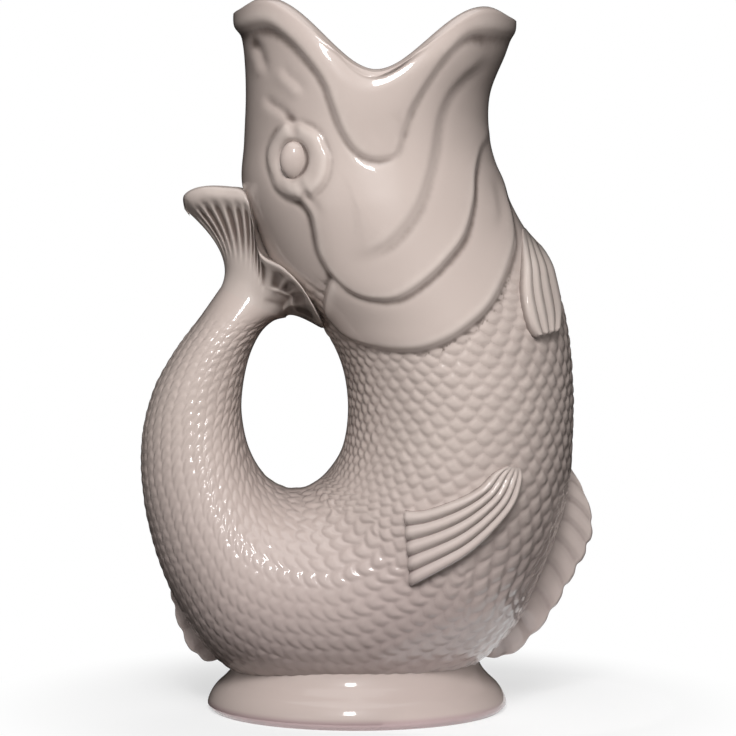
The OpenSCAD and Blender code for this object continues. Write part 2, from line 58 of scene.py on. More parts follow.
HEAD_SAG_SHARES = (0, 0.0664, 0.0536, 0.0357, 0.014)
HEAD_WAVE_SHARES = (1, 0.8, 0.6, 0.4, 0.2)
NECK_BACK_SHARES = ((0.267, 0.683), (0.327, 0.607))
GAP_EDGE_SHARES = (
    (0.49, 0.92), (0.868, 0.488), (1, -0.01), (0.906, -0.488), (0.604, -0.802), (0.264, -0.965),
    (0, -1), (-0.245, -0.977), (-0.585, -0.837), (-0.868, -0.535), (-1, -0.163), (-0.99, 0.163),
    (-0.868, 0.535), (-0.66, 0.814), (-0.415, 0.965), (-0.17, 1.01),
)
FRONT_SHARES = (
    (0.871, 0.697), (0.94, 0.63), (0.982, 0.559), (0.998, 0.476), (1, 0.397), (0.988, 0.311),
    (0.942, 0.216), (0.83, 0.09), (0.61, 0.021), (0.38, 0.019), (0.189, 0.064), (0.074, 0.161),
    (0.014, 0.269), (0, 0.369), (0.025, 0.447), (0.081, 0.511), (0.143, 0.561), (0.187, 0.599),
)
BELLY_WIDTH_SHARES = (0.885, 0.923, 0.962, 0.99, 1, 1, 0.98, 0.942, 0.904, 0.846, 0.77, 0.655)
TAIL_WIDTH_SHARES = (1.366, 1.146, 1, 0.878, 0.756, 0.66)

# Outlines on the face, as shares of half the mouth's length and of the height for the lips, and
# of the jug's length and height for the plates.
UPPER_LIP_SHARES = (
    (-0.915, 0.958), (-0.74, 0.96), (-0.595, 0.94), (-0.457, 0.91), (-0.353, 0.88), (-0.297, 0.85),
    (-0.23, 0.815), (-0.127, 0.786), (0.003, 0.775), (0.126, 0.782), (0.168, 0.802),
    (0.165, 0.828), (0.175, 0.85),
)
LOWER_LIP_SHARES = (
    (0.88, 0.951), (0.64, 0.946), (0.485, 0.92), (0.38, 0.893), (0.277, 0.86), (0.202, 0.829),
    (0.17, 0.845),
)
GILL_SHARES = (
    (0.825, 0.765), (0.842, 0.72), (0.853, 0.676), (0.843, 0.644), (0.817, 0.605), (0.787, 0.576),
    (0.742, 0.552), (0.698, 0.535), (0.643, 0.523), (0.59, 0.521), (0.52, 0.527), (0.479, 0.537),
    (0.452, 0.552), (0.432, 0.576), (0.47, 0.64), (0.6, 0.72), (0.74, 0.77),
)
CHEEK_SHARES = (
    (0.795, 0.82), (0.776, 0.79), (0.761, 0.757), (0.755, 0.716), (0.738, 0.674), (0.708, 0.646),
    (0.658, 0.614), (0.597, 0.59), (0.538, 0.589), (0.489, 0.601), (0.451, 0.622),
    (0.422, 0.651), (0.411, 0.682), (0.4, 0.705), (0.375, 0.722), (0.345, 0.74), (0.345, 0.8),
    (0.42, 0.84), (0.56, 0.85), (0.7, 0.845),
)

# Lines that are pressed into or raised on the face, as places in the side view in millimetres
JAW_FOLD_MM = (
    (41, 220.5), (33, 214.5), (27, 208), (23.5, 200), (21.5, 190), (19, 180.5), (15.5, 170),
    (10.5, 162.5), (5.5, 158), (-0.5, 155.5), (-6, 155.5),
)
NOSTRIL_MM = ((-38.8, 226), (-35.7, 222.8), (-34.2, 218), (-32.3, 212.8))
NOSTRIL_RIDGE_MM = ((-38.8, 222.8), (-36.9, 218.4), (-35.4, 213.2))
BROW_MM = ((-34.6, 208), (-31.9, 205.2), (-28.4, 202.9), (-25.7, 200.3), (-23.9, 196.5), (-23, 193))
SNOUT_SWELL_MM = ((-29.6, 217), (-27.6, 212.9), (-24.2, 209.6), (-22.2, 206.2))
SNOUT_EDGE_MM = ((-28.2, 218), (-26, 214.2), (-22.4, 211.1), (-20.4, 206.5))
EYE_LINE_MM = (
    (-26.5, 198.5), (-30.5, 194.5), (-33, 190), (-33, 185), (-31.5, 180.5), (-30, 177),
    (-27, 174.5), (-23.5, 173.5), (-20.5, 171), (-18.5, 167.5), (-17.5, 162.5),
)
EYE_TAIL_MM = ((-22, 180.5), (-20, 177), (-18, 174), (-16, 171.5), (-14.5, 169), (-14, 166.5))
EYE_CUP_MM = (
    (-23.5, 198.5), (-20.5, 198), (-17.5, 196.5), (-15, 194), (-13.5, 191), (-12, 187.5),
    (-12, 184), (-12.5, 181), (-14, 178), (-16, 176), (-17.5, 175), (-19, 176),
)
GILL_CREASE_MM = ((41.5, 183), (42.5, 177), (43, 168.5), (41.5, 160))
LIP_HOOK_MM = ((10.5, 192.5), (10.5, 195.5), (9.5, 198.5), (7, 200.5), (4.5, 201.5))
UNIT_SQUARE = ((-1, -1), (1, -1), (1, 1), (-1, 1))


def mix(a: np.ndarray | float, b: np.ndarray | float, t: np.ndarray | float) -> np.ndarray:
    """Blend a into b as t goes from 0 to 1: a plus the difference times t."""
    return a + (b - a) * t


def ease(t: np.ndarray | float) -> np.ndarray:
    """Smooth step of t held between 0 and 1: three t squared less two t cubed."""
    k = np.clip(t, 0.0, 1.0)
    return k * k * (3.0 - 2.0 * k)


def ramp(x: np.ndarray | float, start: float, over: float) -> np.ndarray:
    """Smooth step that leaves 0 at a start and reaches 1 at that plus a length."""
    return ease((x - start) / over)


def bell(x: np.ndarray | float, middle: float, width: float) -> np.ndarray:
    """Bell of height 1: e to the minus square of the way from its middle over its width."""
    return np.exp(-(((x - middle) / width) ** 2))


def arc(x: np.ndarray | float) -> np.ndarray:
    """Quarter circle: 0 at 0, where it starts upright, and 1 from 1 on."""
    return np.sqrt(1 - (1 - np.clip(x, 0.0, 1.0)) ** 2)


def smooth_curve(rows: np.ndarray, t: np.ndarray | float) -> np.ndarray:
    """Read a Catmull-Rom curve through rows at places t.

    Between row i and row i + 1, with f the part past row i, the value is half of
    2 p1 + (p2 - p0) f + (2 p0 - 5 p1 + 4 p2 - p3) f^2 + (3 p1 - p0 - 3 p2 + p3) f^3.

    Args:
        rows: the points that the curve passes, one per row.
        t: places along the curve, counted in rows.

    Returns:
        One value per place, with the rows' width as the last axis.
    """
    rows = np.asarray(rows, float)
    t = np.asarray(t, float)
    last = len(rows) - 1
    i = np.clip(np.floor(t).astype(int), 0, last - 1)
    f = (t - i)[..., None]
    p0, p1 = rows[np.maximum(i - 1, 0)], rows[i]
    p2, p3 = rows[i + 1], rows[np.minimum(i + 2, last)]
    return (
        2 * p1 + (p2 - p0) * f + (2 * p0 - 5 * p1 + 4 * p2 - p3) * f**2
        + (3 * p1 - p0 - 3 * p2 + p3) * f**3
    ) / 2


def smooth_line(points: np.ndarray, steps: int, closed: bool = False) -> np.ndarray:
    """Fill in a smooth line through points, with a number of steps between each two.

    Args:
        points: the places that the line passes.
        steps: pieces between two neighbours.
        closed: True joins the last point to the first.

    Returns:
        The finer line, which ends on its first place where it is closed.
    """
    points = np.asarray(points, float)
    count = len(points)
    if closed:
        rows = np.concatenate([points[-1:], points, points[:2]])
        return smooth_curve(rows, 1 + np.linspace(0, count, count * steps + 1))
    return smooth_curve(points, np.linspace(0, count - 1, (count - 1) * steps + 1))


def to_line(places: np.ndarray, line: np.ndarray) -> tuple[np.ndarray, np.ndarray, np.ndarray]:
    """Measure places in the side view against a line of straight pieces.

    The distance is to the nearest point of the nearest piece. The side is the sign of the cross
    product of that piece with the way to the place, which is positive on its left.

    Args:
        places: the places to measure, one per row.
        line: the line's points in order.

    Returns:
        The distance, the side, and how far along the line the nearest point lies, from 0 to 1.
    """
    best = np.full(len(places), np.inf)
    side = np.zeros(len(places))
    share = np.zeros(len(places))
    pieces = len(line) - 1
    for i in range(pieces):
        along = line[i + 1] - line[i]
        way = places - line[i]
        part = np.clip(way @ along / (along @ along), 0.0, 1.0)
        gap = np.hypot(*(way - part[:, None] * along).T)
        near = gap < best
        best = np.where(near, gap, best)
        side = np.where(near, np.sign(along[0] * way[:, 1] - along[1] * way[:, 0]), side)
        share = np.where(near, (i + part) / pieces, share)
    return best, side, share


def in_outline(places: np.ndarray, outline: np.ndarray) -> np.ndarray:
    """Signed distance into a closed outline, positive inside.

    A place is inside where a ray from it crosses the outline's pieces an odd number of times.

    Args:
        places: the places to measure, one per row.
        outline: the outline's points in order, of which the last is the first again.

    Returns:
        The distance to the outline, negative outside.
    """
    gap, _, _ = to_line(places, outline)
    x, z = places[:, 0], places[:, 1]
    odd = np.zeros(len(places), bool)
    for (x0, z0), (x1, z1) in zip(outline[:-1], outline[1:]):
        if z0 == z1:
            continue
        crosses = (z0 > z) != (z1 > z)
        odd ^= crosses & (x < x0 + (z - z0) / (z1 - z0) * (x1 - x0))
    return np.where(odd, gap, -gap)


def soften(field: np.ndarray, passes: int) -> np.ndarray:
    """Blur a field on the skin's grid, as glaze fills sharp corners.

    Each pass takes half of a value and a quarter of each neighbour, first down and then round.

    Args:
        field: values on a grid whose rows close round.
        passes: number of passes.

    Returns:
        The blurred field.
    """
    for _ in range(passes):
        padded = np.concatenate([field[:1], field, field[-1:]])
        field = (padded[:-2] + 2 * padded[1:-1] + padded[2:]) / 4
        field = (np.roll(field, 1, axis=1) + 2 * field + np.roll(field, -1, axis=1)) / 4
    return field


def grid_normals(points: np.ndarray) -> np.ndarray:
    """Normals of a grid whose rows close round, as the cross product of its central differences.

    Args:
        points: the grid's points, with x, y and z as the last axis.

    Returns:
        One unit normal per point, all to the same side of the grid.
    """
    down = np.gradient(points, axis=0)
    across = (np.roll(points, -1, axis=1) - np.roll(points, 1, axis=1)) / 2
    normal = np.cross(down, across)
    return normal / np.maximum(np.linalg.norm(normal, axis=-1, keepdims=True), 1e-9)


def facing(normals: np.ndarray, way: np.ndarray) -> np.ndarray:
    """Normals turned all together, so that on the whole they face the way given."""
    return normals * np.sign(np.sum(normals * way))


def put(name: str, data: bpy.types.ID) -> bpy.types.Object:
    """Link a new object with this data to the scene."""
    thing = bpy.data.objects.new(name, data)
    bpy.context.scene.collection.objects.link(thing)
    return thing


def aim(
    thing: bpy.types.Object, place: tuple[float, float, float], target: tuple[float, float, float]
) -> None:
    """Stand a lamp or camera at a place and turn it towards a target, both in metres."""
    thing.location = place
    way = Vector(target) - Vector(place)
    thing.rotation_euler = way.to_track_quat("-Z", "Y").to_euler()


class Side(Enum):
    """The two sides of the fish: the right one faces the camera, at minus Y."""

    RIGHT = -1
    LEFT = 1

    @property
    def tag(self) -> str:
        """The end of a node's name on this side."""
        return self.name.lower()


class MeshPress:
    """Turns grids of points in millimetres into closed meshes in metres."""

    @staticmethod
    def grid_faces(rows: int, cols: int, round_rows: bool) -> np.ndarray:
        """Four-sided faces of a grid whose rows close round: each joins a point to its neighbours.

        Args:
            rows: number of rows of points.
            cols: number of points in a row.
            round_rows: True joins the last row to the first.

        Returns:
            One face per row, as four indices of points.
        """
        i = np.arange(rows if round_rows else rows - 1)[:, None]
        j = np.arange(cols)[None, :]
        below, right = (i + 1) % rows, (j + 1) % cols
        corners = [i * cols + j, i * cols + right, below * cols + right, below * cols + j]
        return np.stack([np.broadcast_to(c, (i.size, j.size)) for c in corners], -1).reshape(-1, 4)

    @staticmethod
    def loft(
        name: str, loops: np.ndarray, pool: np.ndarray | None = None,
        normals: np.ndarray | None = None,
    ) -> bpy.types.Object:
        """Make a closed piece from loops that are each up one side and down the other.

        The first and last loops are zipped up: point j joins the point that faces it.

        Args:
            name: the piece's name.
            loops: one loop per row, with an even number of points in millimetres.
            pool: how deep each point lies in a hollow.
            normals: smooth normals where the piece runs on into a neighbour, zero elsewhere.

        Returns:
            The new object.
        """
        rows, cols = loops.shape[:2]
        sides = MeshPress.grid_faces(rows, cols, False)
        j = np.arange(cols // 2 - 1)
        zip_up = np.stack([j, j + 1, cols - 2 - j, cols - 1 - j], -1)
        faces = np.concatenate([sides, zip_up, zip_up[:, ::-1] + (rows - 1) * cols])
        return MeshPress.build(name, loops, faces, pool, normals)

    @staticmethod
    def both_sides(side: np.ndarray, pool: np.ndarray) -> tuple[np.ndarray, np.ndarray]:
        """Loops, and pooling with painted shade, of a piece that is the same on both sides of the
        fish.

        Args:
            side: points of one side, one row per loop.
            pool: how deep each of them lies in a hollow.

        Returns:
            The loops, up one side and down the other, and their pooling with painted shade.
        """
        loops = np.concatenate([side, side[:, ::-1] * [1, -1, 1]], axis=1)
        return loops, np.concatenate([pool, pool[:, ::-1]], axis=1)

    @staticmethod
    def outward(points: np.ndarray, faces: np.ndarray) -> np.ndarray:
        """Turn all faces round if they enclose a negative volume, so that they point outwards.

        Args:
            points: one point per row.
            faces: faces as four indices.

        Returns:
            The faces, all turned round or none.
        """
        a, b, c, d = (points[faces[:, k]] for k in range(4))
        volume = np.einsum("ij,ij->", a, np.cross(b, c)) + np.einsum("ij,ij->", a, np.cross(c, d))
        return faces[:, ::-1] if volume < 0 else faces

    @staticmethod
    def build(
        name: str, points: np.ndarray, faces: np.ndarray, pool: np.ndarray | None = None,
        normals: np.ndarray | None = None,
    ) -> bpy.types.Object:
        """Make a smooth mesh object at the origin.

        Args:
            name: the piece's name.
            points: its points in millimetres.
            faces: its faces as four indices.
            pool: how deep each point lies in a hollow of the relief, from -1 to 1.
            normals: smooth normals where the piece runs on into a neighbour, zero elsewhere.

        Returns:
            The new object, linked to the scene.
        """
        flat = points.reshape(-1, 3)
        faces = MeshPress.outward(flat, faces)
        mesh = bpy.data.meshes.new(name)
        mesh.vertices.add(len(flat))
        mesh.vertices.foreach_set("co", (flat * MM).astype(np.float32).ravel())
        mesh.loops.add(faces.size)
        mesh.loops.foreach_set("vertex_index", faces.ravel().astype(np.int32))
        mesh.polygons.add(len(faces))
        mesh.polygons.foreach_set("loop_start", np.arange(0, faces.size, 4, dtype=np.int32))
        mesh.update(calc_edges=True)
        mesh.validate()
        mesh.polygons.foreach_set("use_smooth", np.ones(len(mesh.polygons), bool))
        # Pooling with painted shade, which the glaze reads to darken hollows and creases
        depth = mesh.attributes.new("pool", "FLOAT", "POINT")
        values = np.zeros(len(flat)) if pool is None else pool.ravel()
        depth.data.foreach_set("value", values.astype(np.float32))
        if normals is not None:
            mesh.normals_split_custom_set_from_vertices(normals.reshape(-1, 3).tolist())
        return put(name, mesh)


@dataclass(frozen=True)
class FishForm:
    """The swept skin of the fish, in millimetres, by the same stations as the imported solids.

    A ring of the skin is an ellipse between a point at the back and one at the belly side. Near
    the mouth its corners sag and its height follows the wave of the lips.

    Args:
        jug_h: height of the jug.
        jug_len: length from the back of the tail to the belly.
        belly_w: width over the belly.
        wall: thickness of the clay.
        mouth_len: length of the mouth, from the tip of the upper lip to that of the lower one.
        mouth_w: width of the mouth.
        mouth_dip: how far the mouth dips between the lips.
        lower_lip_drop: how far the lower lip lies below the upper one.
        lip_droop: how far a lip droops from its crest to its tip.
        rim_t: thickness of the rim.
        rim_round: height of its rounding.
        rim_fall: how far the skin falls below the rim in one station, at the least.
        rim_blend: height over which that meets the swept form.
        gap_w: width of the finger gap.
        gap_h: height of the finger gap.
        tail_w: width of the tail at its thickest.
        belly_fin_out: how far the belly fin stands out.
        fin_over_share: share of that by which it stands past the belly's line.
        mouth_at_share: middle of the mouth, as a share of the length.
        foot_at_share: middle of the foot, as a share of the length.
        gap_at_shares: middle of the finger gap, as shares of the length and height.
        lip_crest_share: where a lip's crest lies, from the mouth's middle to its tip.
        neck_seam: station where the head's piece ends.
        tail_seam: station where the tail's piece starts.
        tail_end: station where the tail's fan starts.
    """

    jug_h: float = 240.0
    jug_len: float = 147.0
    belly_w: float = 104.0
    wall: float = 4.5
    mouth_len: float = 95.0
    mouth_w: float = 92.0
    mouth_dip: float = 25.5
    lower_lip_drop: float = 3.0
    lip_droop: float = 3.0
    rim_t: float = 5.0
    rim_round: float = 1.5
    rim_fall: float = 1.6
    rim_blend: float = 1.5
    gap_w: float = 36.0
    gap_h: float = 58.0
    tail_w: float = 41.0
    belly_fin_out: float = 11.5
    fin_over_share: float = 0.65
    mouth_at_share: float = 0.543
    foot_at_share: float = 0.5
    gap_at_shares: tuple[float, float] = (0.3565, 0.4333)
    lip_crest_share: float = 0.82
    neck_seam: float = 6.0
    tail_seam: float = 17.0
    tail_end: float = 22.0

    @cached_property
    def back_x(self) -> float:
        """Where the jug starts in X."""
        return -(self.jug_len + self.belly_fin_out * self.fin_over_share) / 2

    @cached_property
    def mouth_x(self) -> float:
        """Middle of the mouth in X."""
        return self.back_x + self.mouth_at_share * self.jug_len

    @cached_property
    def foot_x(self) -> float:
        """Middle of the foot in X."""
        return self.back_x + self.foot_at_share * self.jug_len

    def place(self, shares: np.ndarray) -> np.ndarray:
        """Places in the side view, from shares of the jug's length and height."""
        return np.array([self.back_x, 0.0]) + np.asarray(shares) * [self.jug_len, self.jug_h]

    def by_mouth(self, shares: np.ndarray) -> np.ndarray:
        """Places on the head, from shares of half the mouth's length and of the jug's height."""
        return np.array([self.mouth_x, 0.0]) + np.asarray(shares) * [self.mouth_len / 2, self.jug_h]

    def by_gap(self, shares: np.ndarray) -> np.ndarray:
        """Places on the finger gap's edge, from shares of half its width and height."""
        centre = np.array([self.back_x, 0.0]) + np.array(self.gap_at_shares) * [
            self.jug_len, self.jug_h
        ]
        return centre + np.asarray(shares) * [self.gap_w / 2, self.gap_h / 2]

    @cached_property
    def stations(self) -> np.ndarray:
        """Rows of back x and z, front x and z, half width, sag and wave."""
        lip_z = (self.jug_h - self.rim_round, self.jug_h - self.rim_round - self.lower_lip_drop)
        head = np.column_stack([
            self.by_mouth(HEAD_BACK_SHARES), self.by_mouth(HEAD_FRONT_SHARES),
            np.array(HEAD_WIDTH_SHARES) * self.mouth_w / 2,
            np.array(HEAD_SAG_SHARES) * self.jug_h / 2, HEAD_WAVE_SHARES,
        ])
        head[0, 1], head[0, 3] = lip_z
        head[0, 5] = sum(lip_z) / 2 - (self.jug_h - self.mouth_dip)
        backs = np.concatenate([self.place(NECK_BACK_SHARES), self.by_gap(GAP_EDGE_SHARES)])
        widths = np.concatenate([
            np.array(BELLY_WIDTH_SHARES) * self.belly_w, np.array(TAIL_WIDTH_SHARES) * self.tail_w
        ]) / 2
        nothing = np.zeros((len(widths), 2))
        trunk = np.column_stack([backs, self.place(FRONT_SHARES), widths, nothing])
        return np.concatenate([head, trunk])

    def lip_wave(self, c: np.ndarray) -> np.ndarray:
        """The wave of a lip along the rim, from a corner of the mouth at 0 to its tip at 1.

        It eases up to the lip's crest, and past the crest eases down by the droop of the tip.
        """
        past = (c - self.lip_crest_share) / (1 - self.lip_crest_share)
        return ease(c / self.lip_crest_share) - self.lip_droop / self.mouth_dip * ease(past)

    def point(
        self, t: np.ndarray, a: np.ndarray, grow: np.ndarray | float = 0.0,
        rise: np.ndarray | float = 0.0,
    ) -> np.ndarray:
        """Points of the skin.

        With c the size of cos a, x goes from the ring's middle to its end by c, y is the half
        width times sin a, and z goes from the sagged middle to the end by c mixed with the wave.

        Args:
            t: stations from the mouth to the tail's end.
            a: angles from the belly side, in radians.
            grow: how far the skin is grown outwards.
            rise: how far the points are lifted.

        Returns:
            Points with x, y and z as the last axis.
        """
        t, a, grow = np.broadcast_arrays(np.asarray(t, float), a, grow)
        s = smooth_curve(self.stations, t)
        back, front = s[..., 0:2], s[..., 2:4]
        span = front - back
        across = span / np.linalg.norm(span, axis=-1, keepdims=True) * grow[..., None]
        middle = (back + front) / 2
        cos = np.cos(a)
        c = np.abs(cos)
        end = np.where((cos > 0)[..., None], front + across, back - across)
        wave = mix(c, self.lip_wave(c), s[..., 6])
        x = mix(middle[..., 0], end[..., 0], c)
        y = (s[..., 4] + grow) * np.sin(a)
        z = mix(middle[..., 1] - s[..., 5], end[..., 1], wave)
        # Below the rim the skin falls all the way, also where the mouth dips between the lips
        _, back_z, _, front_z, _, sag, _ = self.stations[0]
        tip_z = np.where(cos > 0, front_z, back_z)
        rim_z = mix((back_z + front_z) / 2 - sag, tip_z, self.lip_wave(c))
        cap = rim_z - self.rim_fall * t
        blend = self.rim_blend * ease(t / 0.5) + 1e-6
        share = np.clip(0.5 + 0.5 * (cap - z) / blend, 0, 1)
        z = mix(cap, z, share) - blend * share * (1 - share) / 2
        return np.stack([x, y, z + rise], -1)

    def chord(self, t: np.ndarray, places: np.ndarray) -> tuple[np.ndarray, np.ndarray]:
        """The chord of the ring at each station, and the way from its middle to a place."""
        s = smooth_curve(self.stations, t)
        return s[..., 2:4] - s[..., 0:2], places - (s[..., 2:4] + s[..., 0:2]) / 2

    def find(self, places: np.ndarray, span: tuple[float, float]) -> tuple[np.ndarray, np.ndarray]:
        """Stations and signed shares across the ring for places in the side view.

        The trunk's rings are flat, so a place lies on the ring whose chord passes through it:
        the station is halved down on until the cross product with the chord is nothing.

        Args:
            places: places in the side view in millimetres, as the last axis.
            span: the stations between which the place lies.

        Returns:
            The station, and the share from the chord's middle, 1 at the belly side.
        """
        low = np.full(places.shape[:-1], span[0])
        high = np.full(places.shape[:-1], span[1])

        def offset(t: np.ndarray) -> np.ndarray:
            """Cross product of the chord with the way from its middle to the place."""
            chord, way = self.chord(t, places)
            return chord[..., 0] * way[..., 1] - chord[..., 1] * way[..., 0]

        start = np.sign(offset(low))
        for _ in range(30):
            mid = (low + high) / 2
            same = np.sign(offset(mid)) == start
            low, high = np.where(same, mid, low), np.where(same, high, mid)
        t = (low + high) / 2
        chord, way = self.chord(t, places)
        return t, 2 * np.sum(way * chord, -1) / np.sum(chord * chord, -1)

    def on_side(
        self, places: np.ndarray, span: tuple[float, float], side: Side
    ) -> tuple[np.ndarray, np.ndarray]:
        """Points of the skin at places in the side view, with their outward normals.

        Args:
            places: places in the side view in millimetres.
            span: the stations between which they lie.
            side: the side of the fish.

        Returns:
            Points and unit normals.
        """
        t, share = self.find(places, span)
        a = side.value * np.arccos(np.clip(share, -0.999, 0.999))
        step = 1e-3
        base = self.point(t, a)
        down = self.point(t + step, a) - base
        across = self.point(t, a + side.value * step) - base
        normal = np.cross(down, across) * -side.value
        normal /= np.linalg.norm(normal, axis=-1, keepdims=True)
        outwards = np.sign(np.sum(normal * (base - self.axis_point(t)), -1, keepdims=True))
        return base, normal * outwards

    def axis_point(self, t: np.ndarray) -> np.ndarray:
        """The middle of the ring at a station."""
        s = smooth_curve(self.stations, t)
        middle = (s[..., 0:2] + s[..., 2:4]) / 2
        return np.stack([middle[..., 0], np.zeros_like(middle[..., 0]), middle[..., 1]], -1)


@dataclass(frozen=True)
class Plate:
    """A raised plate of the face: everything inside an outline stands up by its height.

    Args:
        outline: closed outline in the side view, in millimetres.
        height: how far it stands up.
        edge: width of its rounded edge.
        roll: height of the soft roll along its edge.
        fade: stations between which it grows to its full height.
    """

    outline: np.ndarray
    height: float
    edge: float = 3.4
    roll: float = 0.0
    fade: tuple[float, float] | None = None

    def lift(self, places: np.ndarray, t: np.ndarray) -> tuple[np.ndarray, np.ndarray]:
        """Height of the plate at each place, and the signed distance into it.

        The height eases up over the edge's width. The roll is a bell just inside the edge.

        Args:
            places: places in the side view, one per row.
            t: their stations.

        Returns:
            The height, and the signed distance into the outline.
        """
        inside = in_outline(places, self.outline)
        grown = 1.0
        if self.fade is not None:
            grown = ease((t - self.fade[0]) / (self.fade[1] - self.fade[0]))
        step = ease(inside / self.edge + 0.5)
        rolled = self.roll * bell(inside, self.edge, 1.3 * self.edge)
        return (self.height + rolled) * step * grown, inside


@dataclass(frozen=True)
class Crease:
    """A line on the face: pressed in, raised, or a fold that stands up on one side only.

    Args:
        line: its places in the side view, in millimetres.
        depth: how deep it goes, negative where it is raised.
        width: half width of its bell.
        ends: shares of its length over which its two ends fade in and out.
        fold: height of the skin on its right side, which dies away from the line.
        reach: how far the fold's swelling reaches.
    """

    line: np.ndarray
    depth: float
    width: float
    ends: tuple[float, float]
    fold: float = 0.0
    reach: float = 12.0

    def lift(self, places: np.ndarray) -> np.ndarray:
        """Height at each place: a bell of its depth across the line, and the fold beside it.

        Args:
            places: places in the side view, one per row.

        Returns:
            The height, negative in the crease.
        """
        gap, side, share = to_line(places, self.line)
        taper = ease(share / self.ends[0]) * ease((1 - share) / self.ends[1])
        step = ease(0.5 - side * gap / (2.4 * self.width)) * bell(gap, 0.0, self.reach)
        return (self.fold * step - self.depth * bell(gap, 0.0, self.width)) * taper


@dataclass(frozen=True)
class Scales:
    """Rows of overlapping scales, each with a rounded free edge towards the tail.

    Small waves along and across keep the rows and files from lying too straight.

    Args:
        pitches: stations, and there the distance between rows, the width of a scale, and how
            far its free edge bows out, in rows.
        rise: height of a scale at its free edge.
        files_from: station from which the scales stand in files along the tail.
        round_rows: length over which the free edge rounds over, in rows.
        under_rows: length over which a scale comes out from under the upper one, in rows.
        crease_rows: length over which a crease darkens with pooled glaze and painted shade, in
            rows.
        flank: width over which a scale falls to its flanks in a file, as a share of its own.
        domes: how far a scale's flanks lie below its middle, in shares: before and in the files.
    """

    pitches: tuple[tuple[float, float, float, float], ...] = (
        (6, 3.4, 6.6, 0.5), (9.5, 3.6, 6.6, 0.5), (11.5, 4.3, 6.4, 0.55), (12.8, 5.0, 6.0, 0.4),
        (14.5, 4.4, 5.4, 0.35), (18, 3.9, 4.8, 0.35), (22, 3.3, 4.0, 0.35),
    )
    rise: float = 0.8
    files_from: float = 11.6
    round_rows: float = 0.4
    under_rows: float = 0.45
    crease_rows: float = 0.34
    flank: float = 0.22
    domes: tuple[float, float] = (0.55, 0.3)

    def lift(
        self, t: np.ndarray, along: np.ndarray, across: np.ndarray, steps: np.ndarray
    ) -> tuple[np.ndarray, np.ndarray]:
        """Height of the scales, from 0 in the creases to the rise, and how close a crease is.

        A row's number is the sum of the way along the fish over the pitch. On the tail, where
        the way round the bend differs, each file of scales counts its own rows. A place belongs
        to the row whose free edge lies next towards the tail, so an upper scale covers a lower
        one. A scale rounds over at its free edge, comes out from under the upper one, and is
        domed across.

        Args:
            t: stations of the grid's rows, from the head to the tail.
            along: way along the middle of the side at each row, in millimetres.
            across: way round from the middle of the side at each point, in millimetres.
            steps: way from each point to the next row, in millimetres.

        Returns:
            Heights on the grid, and the closeness of a crease from 0 to 1.
        """
        knots = np.array(self.pitches)
        pitch, width, bow = (np.interp(t, knots[:, 0], knots[:, k]) for k in (1, 2, 3))
        plain = np.cumsum(np.diff(along, prepend=along[0]) / pitch)[:, None] + np.zeros_like(across)
        col = across / width[:, None]
        col = col + 0.07 * np.sin(1.3 * plain) + 0.05 * np.sin(2.3 * plain + 1.9 * col)
        in_file = t[:, None] > self.files_from + 0.3 * np.sin(1.1 * col)
        files = np.arange(math.floor(col.min()), math.ceil(col.max()) + 1)
        counts = np.zeros((len(t), len(files)))
        for k, number in enumerate(files):
            nearest = np.abs(col - number).argmin(axis=1)
            own = np.cumsum(steps[np.arange(len(t)), nearest] / pitch)
            counts[:, k] = own + 0.5 * (number % 2) + 0.12 * math.sin(2.4 * number)
        counted = np.take_along_axis(counts, (np.round(col) - files[0]).astype(int), axis=1)
        row = np.where(in_file, counted, plain)
        row = row + 0.12 * np.sin(1.7 * col + 0.3 * row) + 0.07 * np.sin(0.9 * row - 2.1 * col)
        first = np.floor(row)

        def behind_edge(number: np.ndarray) -> tuple[np.ndarray, np.ndarray, np.ndarray]:
            """How far a place lies behind the free edge of a row's scale, and where across it."""
            shift = np.where(in_file | (number % 2 == 0), 0.0, 0.5)
            index = np.round(col - shift)
            du = col - shift - index
            return number + 1 - bow[:, None] * (2 * du) ** 2 - row, du, index

        before, _, _ = behind_edge(first - 1)
        upper, du_upper, i_upper = behind_edge(first)
        lower, du_lower, i_lower = behind_edge(first + 1)
        covered = upper >= 0
        behind = np.where(covered, upper, lower)
        ahead = np.where(covered, -before, -upper)
        du = np.where(covered, du_upper, du_lower)
        number = np.where(covered, first, first + 1)
        index = np.where(covered, i_upper, i_lower)
        chance = np.abs(np.modf(np.sin(index * 12.9898 + number * 78.233) * 437.5453)[0])
        flank = np.where(in_file, (0.5 - np.abs(du)) / self.flank, 1.0)
        edge = arc(behind / self.round_rows) * mix(0.3, 1.0, ease(ahead / self.under_rows))
        edge = edge * mix(0.7, 1.0, ease(flank))
        dome = 1 - np.where(in_file, self.domes[1], self.domes[0]) * (2 * du) ** 2
        crease = np.minimum(behind, ahead) / self.crease_rows
        near = 1 - ease(np.minimum(crease, mix(0.45, 1.0, flank)))
        return self.rise * edge * dome * (0.8 + 0.3 * chance), near


